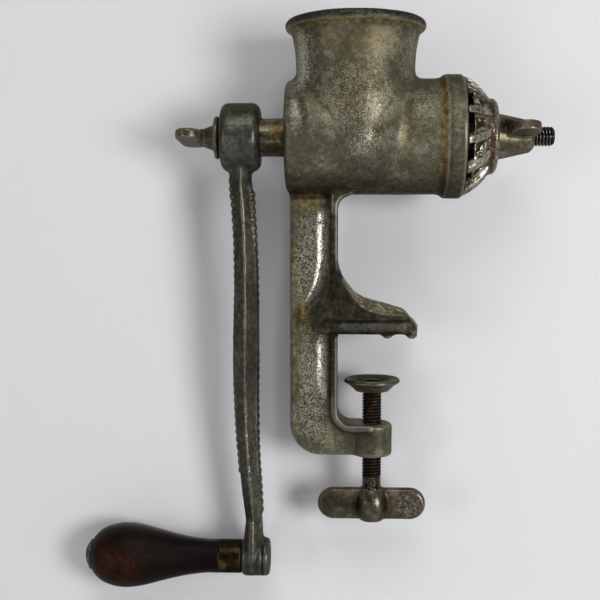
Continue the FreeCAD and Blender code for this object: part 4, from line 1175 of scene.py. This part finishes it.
thumbSpec = {
    "node": "thumb_screw", "body": "thumb_screw", "slot": "tinned_small", "look": "smallTin",
    "voxel": 0.3, "passes": 3, "fillet": (0.9, 40), "uneven": 0.05, "wear": (0.9, 0.15),
    "crisp": (((-66, 0, 96), (12, 6, 6), 1.5),),
}
castPiece("crankThumbScrew", thumbSpec)

wingSpec = {
    "node": "clamp_thumb_piece", "body": "clamp_screw", "slot": "pad_iron", "look": "padIron",
    "voxel": 0.42, "passes": 3, "fillet": (0.95, 70), "uneven": 0.07, "wear": (1.2, 0.2),
    # painted shade in the valleys beside the hub and over the left wing, painted highlights on the right wing
    # and the hub's front
    "soot": (
        ((-8, -6, -88), (5, 9, 9), 0.85), ((7.4, -6, -88), (4, 9, 9), 0.85),
        ((-18, -4, -88), (14, 9, 9), 0.5),
    ),
    "silver": (((20, -4, -88), (12, 9, 9), 0.6), ((2, -8, -86), (3, 6, 5), 0.6)),
    "patina": (((11, -4, -88), (6, 9, 9), 0.6), ((-14, -4, -84), (8, 9, 6), 0.5)),
}
castPiece("clampThumbPiece", wingSpec)

padSpec = {
    "node": "clamp_pad", "body": "clamp_pad", "slot": "pad_iron", "look": "padIron",
    "voxel": 0.34, "passes": 3, "fillet": (0.5, 10), "uneven": 0.08, "wear": (0.9, 0.15),
}
castPiece("clampPad", padSpec)

ferruleSpec = {
    "node": "handle_ferrule", "body": "grip", "slot": "ferrule_brass", "look": "agedBrass",
    "voxel": 0.26, "passes": 2, "uneven": 0.07, "wear": (0.7, 0.12),
    "patina": (((-76, -7, -119), (4, 6, 4), 1.0),),
}
castPiece("gripFerrule", ferruleSpec)

gripSpec = {
    "node": "handle_grip", "body": "grip", "slot": "grip_wood", "look": "gripWood",
    "voxel": 0.7, "passes": 3, "uneven": 0.06, "wear": (1.4, 0.2),
    "patina": (((-128, -6, -114), (19, 26, 28), 1.3),),
    "soot": (((-85, 0, -116.5), (26, 30, 30), 0.8),),
}
castPiece("woodGrip", gripSpec)

spindleSpec = {
    "node": "handle_spindle", "body": "crank", "slot": "plain_steel", "look": "plainSteel",
    "voxel": 0.32, "passes": 3, "uneven": 0.10, "wear": (0.9, 0.15),
}
castPiece("gripSpindle", spindleSpec)

wormSpec = {
    "node": "feed_screw", "body": "worm", "slot": "worm_iron", "look": "wormIron",
    "voxel": 0.6, "passes": 2, "fillet": (0.8, 12), "uneven": 0.05, "wear": (1.4, 0.2),
    "crisp": (((-45, 0, 96), (30, 12, 12), 1.4), ((52, 0, 96), (12, 10, 10), 1.4)),
    "rust": (((-49, -6, 90), (8, 8, 6), 0.9),),
    "patina": (((-47, -9, 99), (5, 8, 8), 0.8),),
}
castPiece("feedWorm", wormSpec)

washerSpec = {
    "node": "crank_washer", "body": "crank", "slot": "tinned_small", "look": "smallTin",
    "voxel": 0.3, "passes": 2, "uneven": 0.05, "wear": (0.8, 0.15),
}
castPiece("crankWasher", washerSpec)

# painted highlights on the threads' crests and painted shade in their roots, by the height over the root
threadMarks = {
    "edge": (1.0, ("high", 0.75, 1.0)),
    "silver": (0.8, ("high", 0.75, 1.0)),
    "soot": (0.9, ("high", 0.6, 0.2)),
}


def threadCrestLightRootShade(obj, spec, middle, axes):
    co = pointsOf(obj.data)
    high = (np.hypot(*(co[:, axes] / mm - middle).T) - spec["radius"] + spec["depth"]) / spec["depth"]
    return co, sharesOf({"high": high}, threadMarks)


studSpec = {
    "node": "front_stud", "body": "worm", "slot": "dark_steel", "look": "darkStud",
    "radius": 4.76, "pitch": 1.5875, "depth": 0.9, "low": 39.8, "high": 88.3, "taper": 1.1,
}


def makeStud():
    spec = studSpec
    place = ((spec["low"] + spec["high"]) / 2, 0.0, axisZ)
    stud = newPiece("frontStud", threadedRod(spec, (0.0, math.radians(90), 0.0), place))
    smoothFaces(stud.data)
    putWearAndShade(stud, *threadCrestLightRootShade(stud, spec, (0.0, axisZ), [1, 2]))
    dress(stud, spec)


makeStud()

clampScrewSpec = {
    "node": "clamp_screw", "body": "clamp_screw", "slot": "dark_steel", "look": "rustySteel",
    "radius": 4.8, "pitch": 1.5875, "depth": 0.9, "low": -74.45, "high": -30.45, "taper": 0.5,
    # peened tip above the thread, then the plain shank and the riveted tang below it: (radius, z)
    "tip": ((0, -24.6), (3.2, -24.7), (5.0, -25.4), (5.4, -26.2), (3.4, -26.4), (3.4, -30.6), (0, -30.6)),
    "shank": (
        (0, -73.9), (4.0, -73.9), (4.6, -74.6), (4.6, -79.2), (5.3, -79.9), (5.3, -80.3),
        (2.4, -80.5), (2.4, -96.4), (3.2, -96.6), (3.0, -97.0), (1.6, -97.4), (0, -97.5),
    ),
    # the shank is rubbed bright, and the painted highlights on the thread's crests are weaker
    "rubbedBelow": (-1.0, 1.0), "rubbedSilver": 4.0, "crestSilver": 0.3, "crestEdge": 0.5,
}


def makeClampScrew():
    spec = clampScrewSpec
    rod = threadedRod(spec, (0, 0, 0), (0.0, 0.0, (spec["low"] + spec["high"]) / 2))
    tip, shank = turned("tip", spec["tip"]), turned("shank", spec["shank"])
    screw = newPiece("clampScrew", joinMeshes("clampScrew", rod, tip, shank))
    smoothFaces(screw.data)
    co, values = threadCrestLightRootShade(screw, spec, (0.0, 0.0), [0, 1])
    rubbed = ease(spec["low"] - co[:, 2] / mm, *spec["rubbedBelow"])
    values["silver"] = np.maximum(spec["crestSilver"] * values["silver"], spec["rubbedSilver"] * rubbed)
    values["edge"] *= spec["crestEdge"]
    values["soot"] *= 1.0 - rubbed
    putWearAndShade(screw, co, values)
    dress(screw, spec)


makeClampScrew()

for name in ("thrust_washer", "spindle_washer"):
    nodes[name].data.materials.clear()
    nodes[name].data.materials.append(looks["plainSteel"])
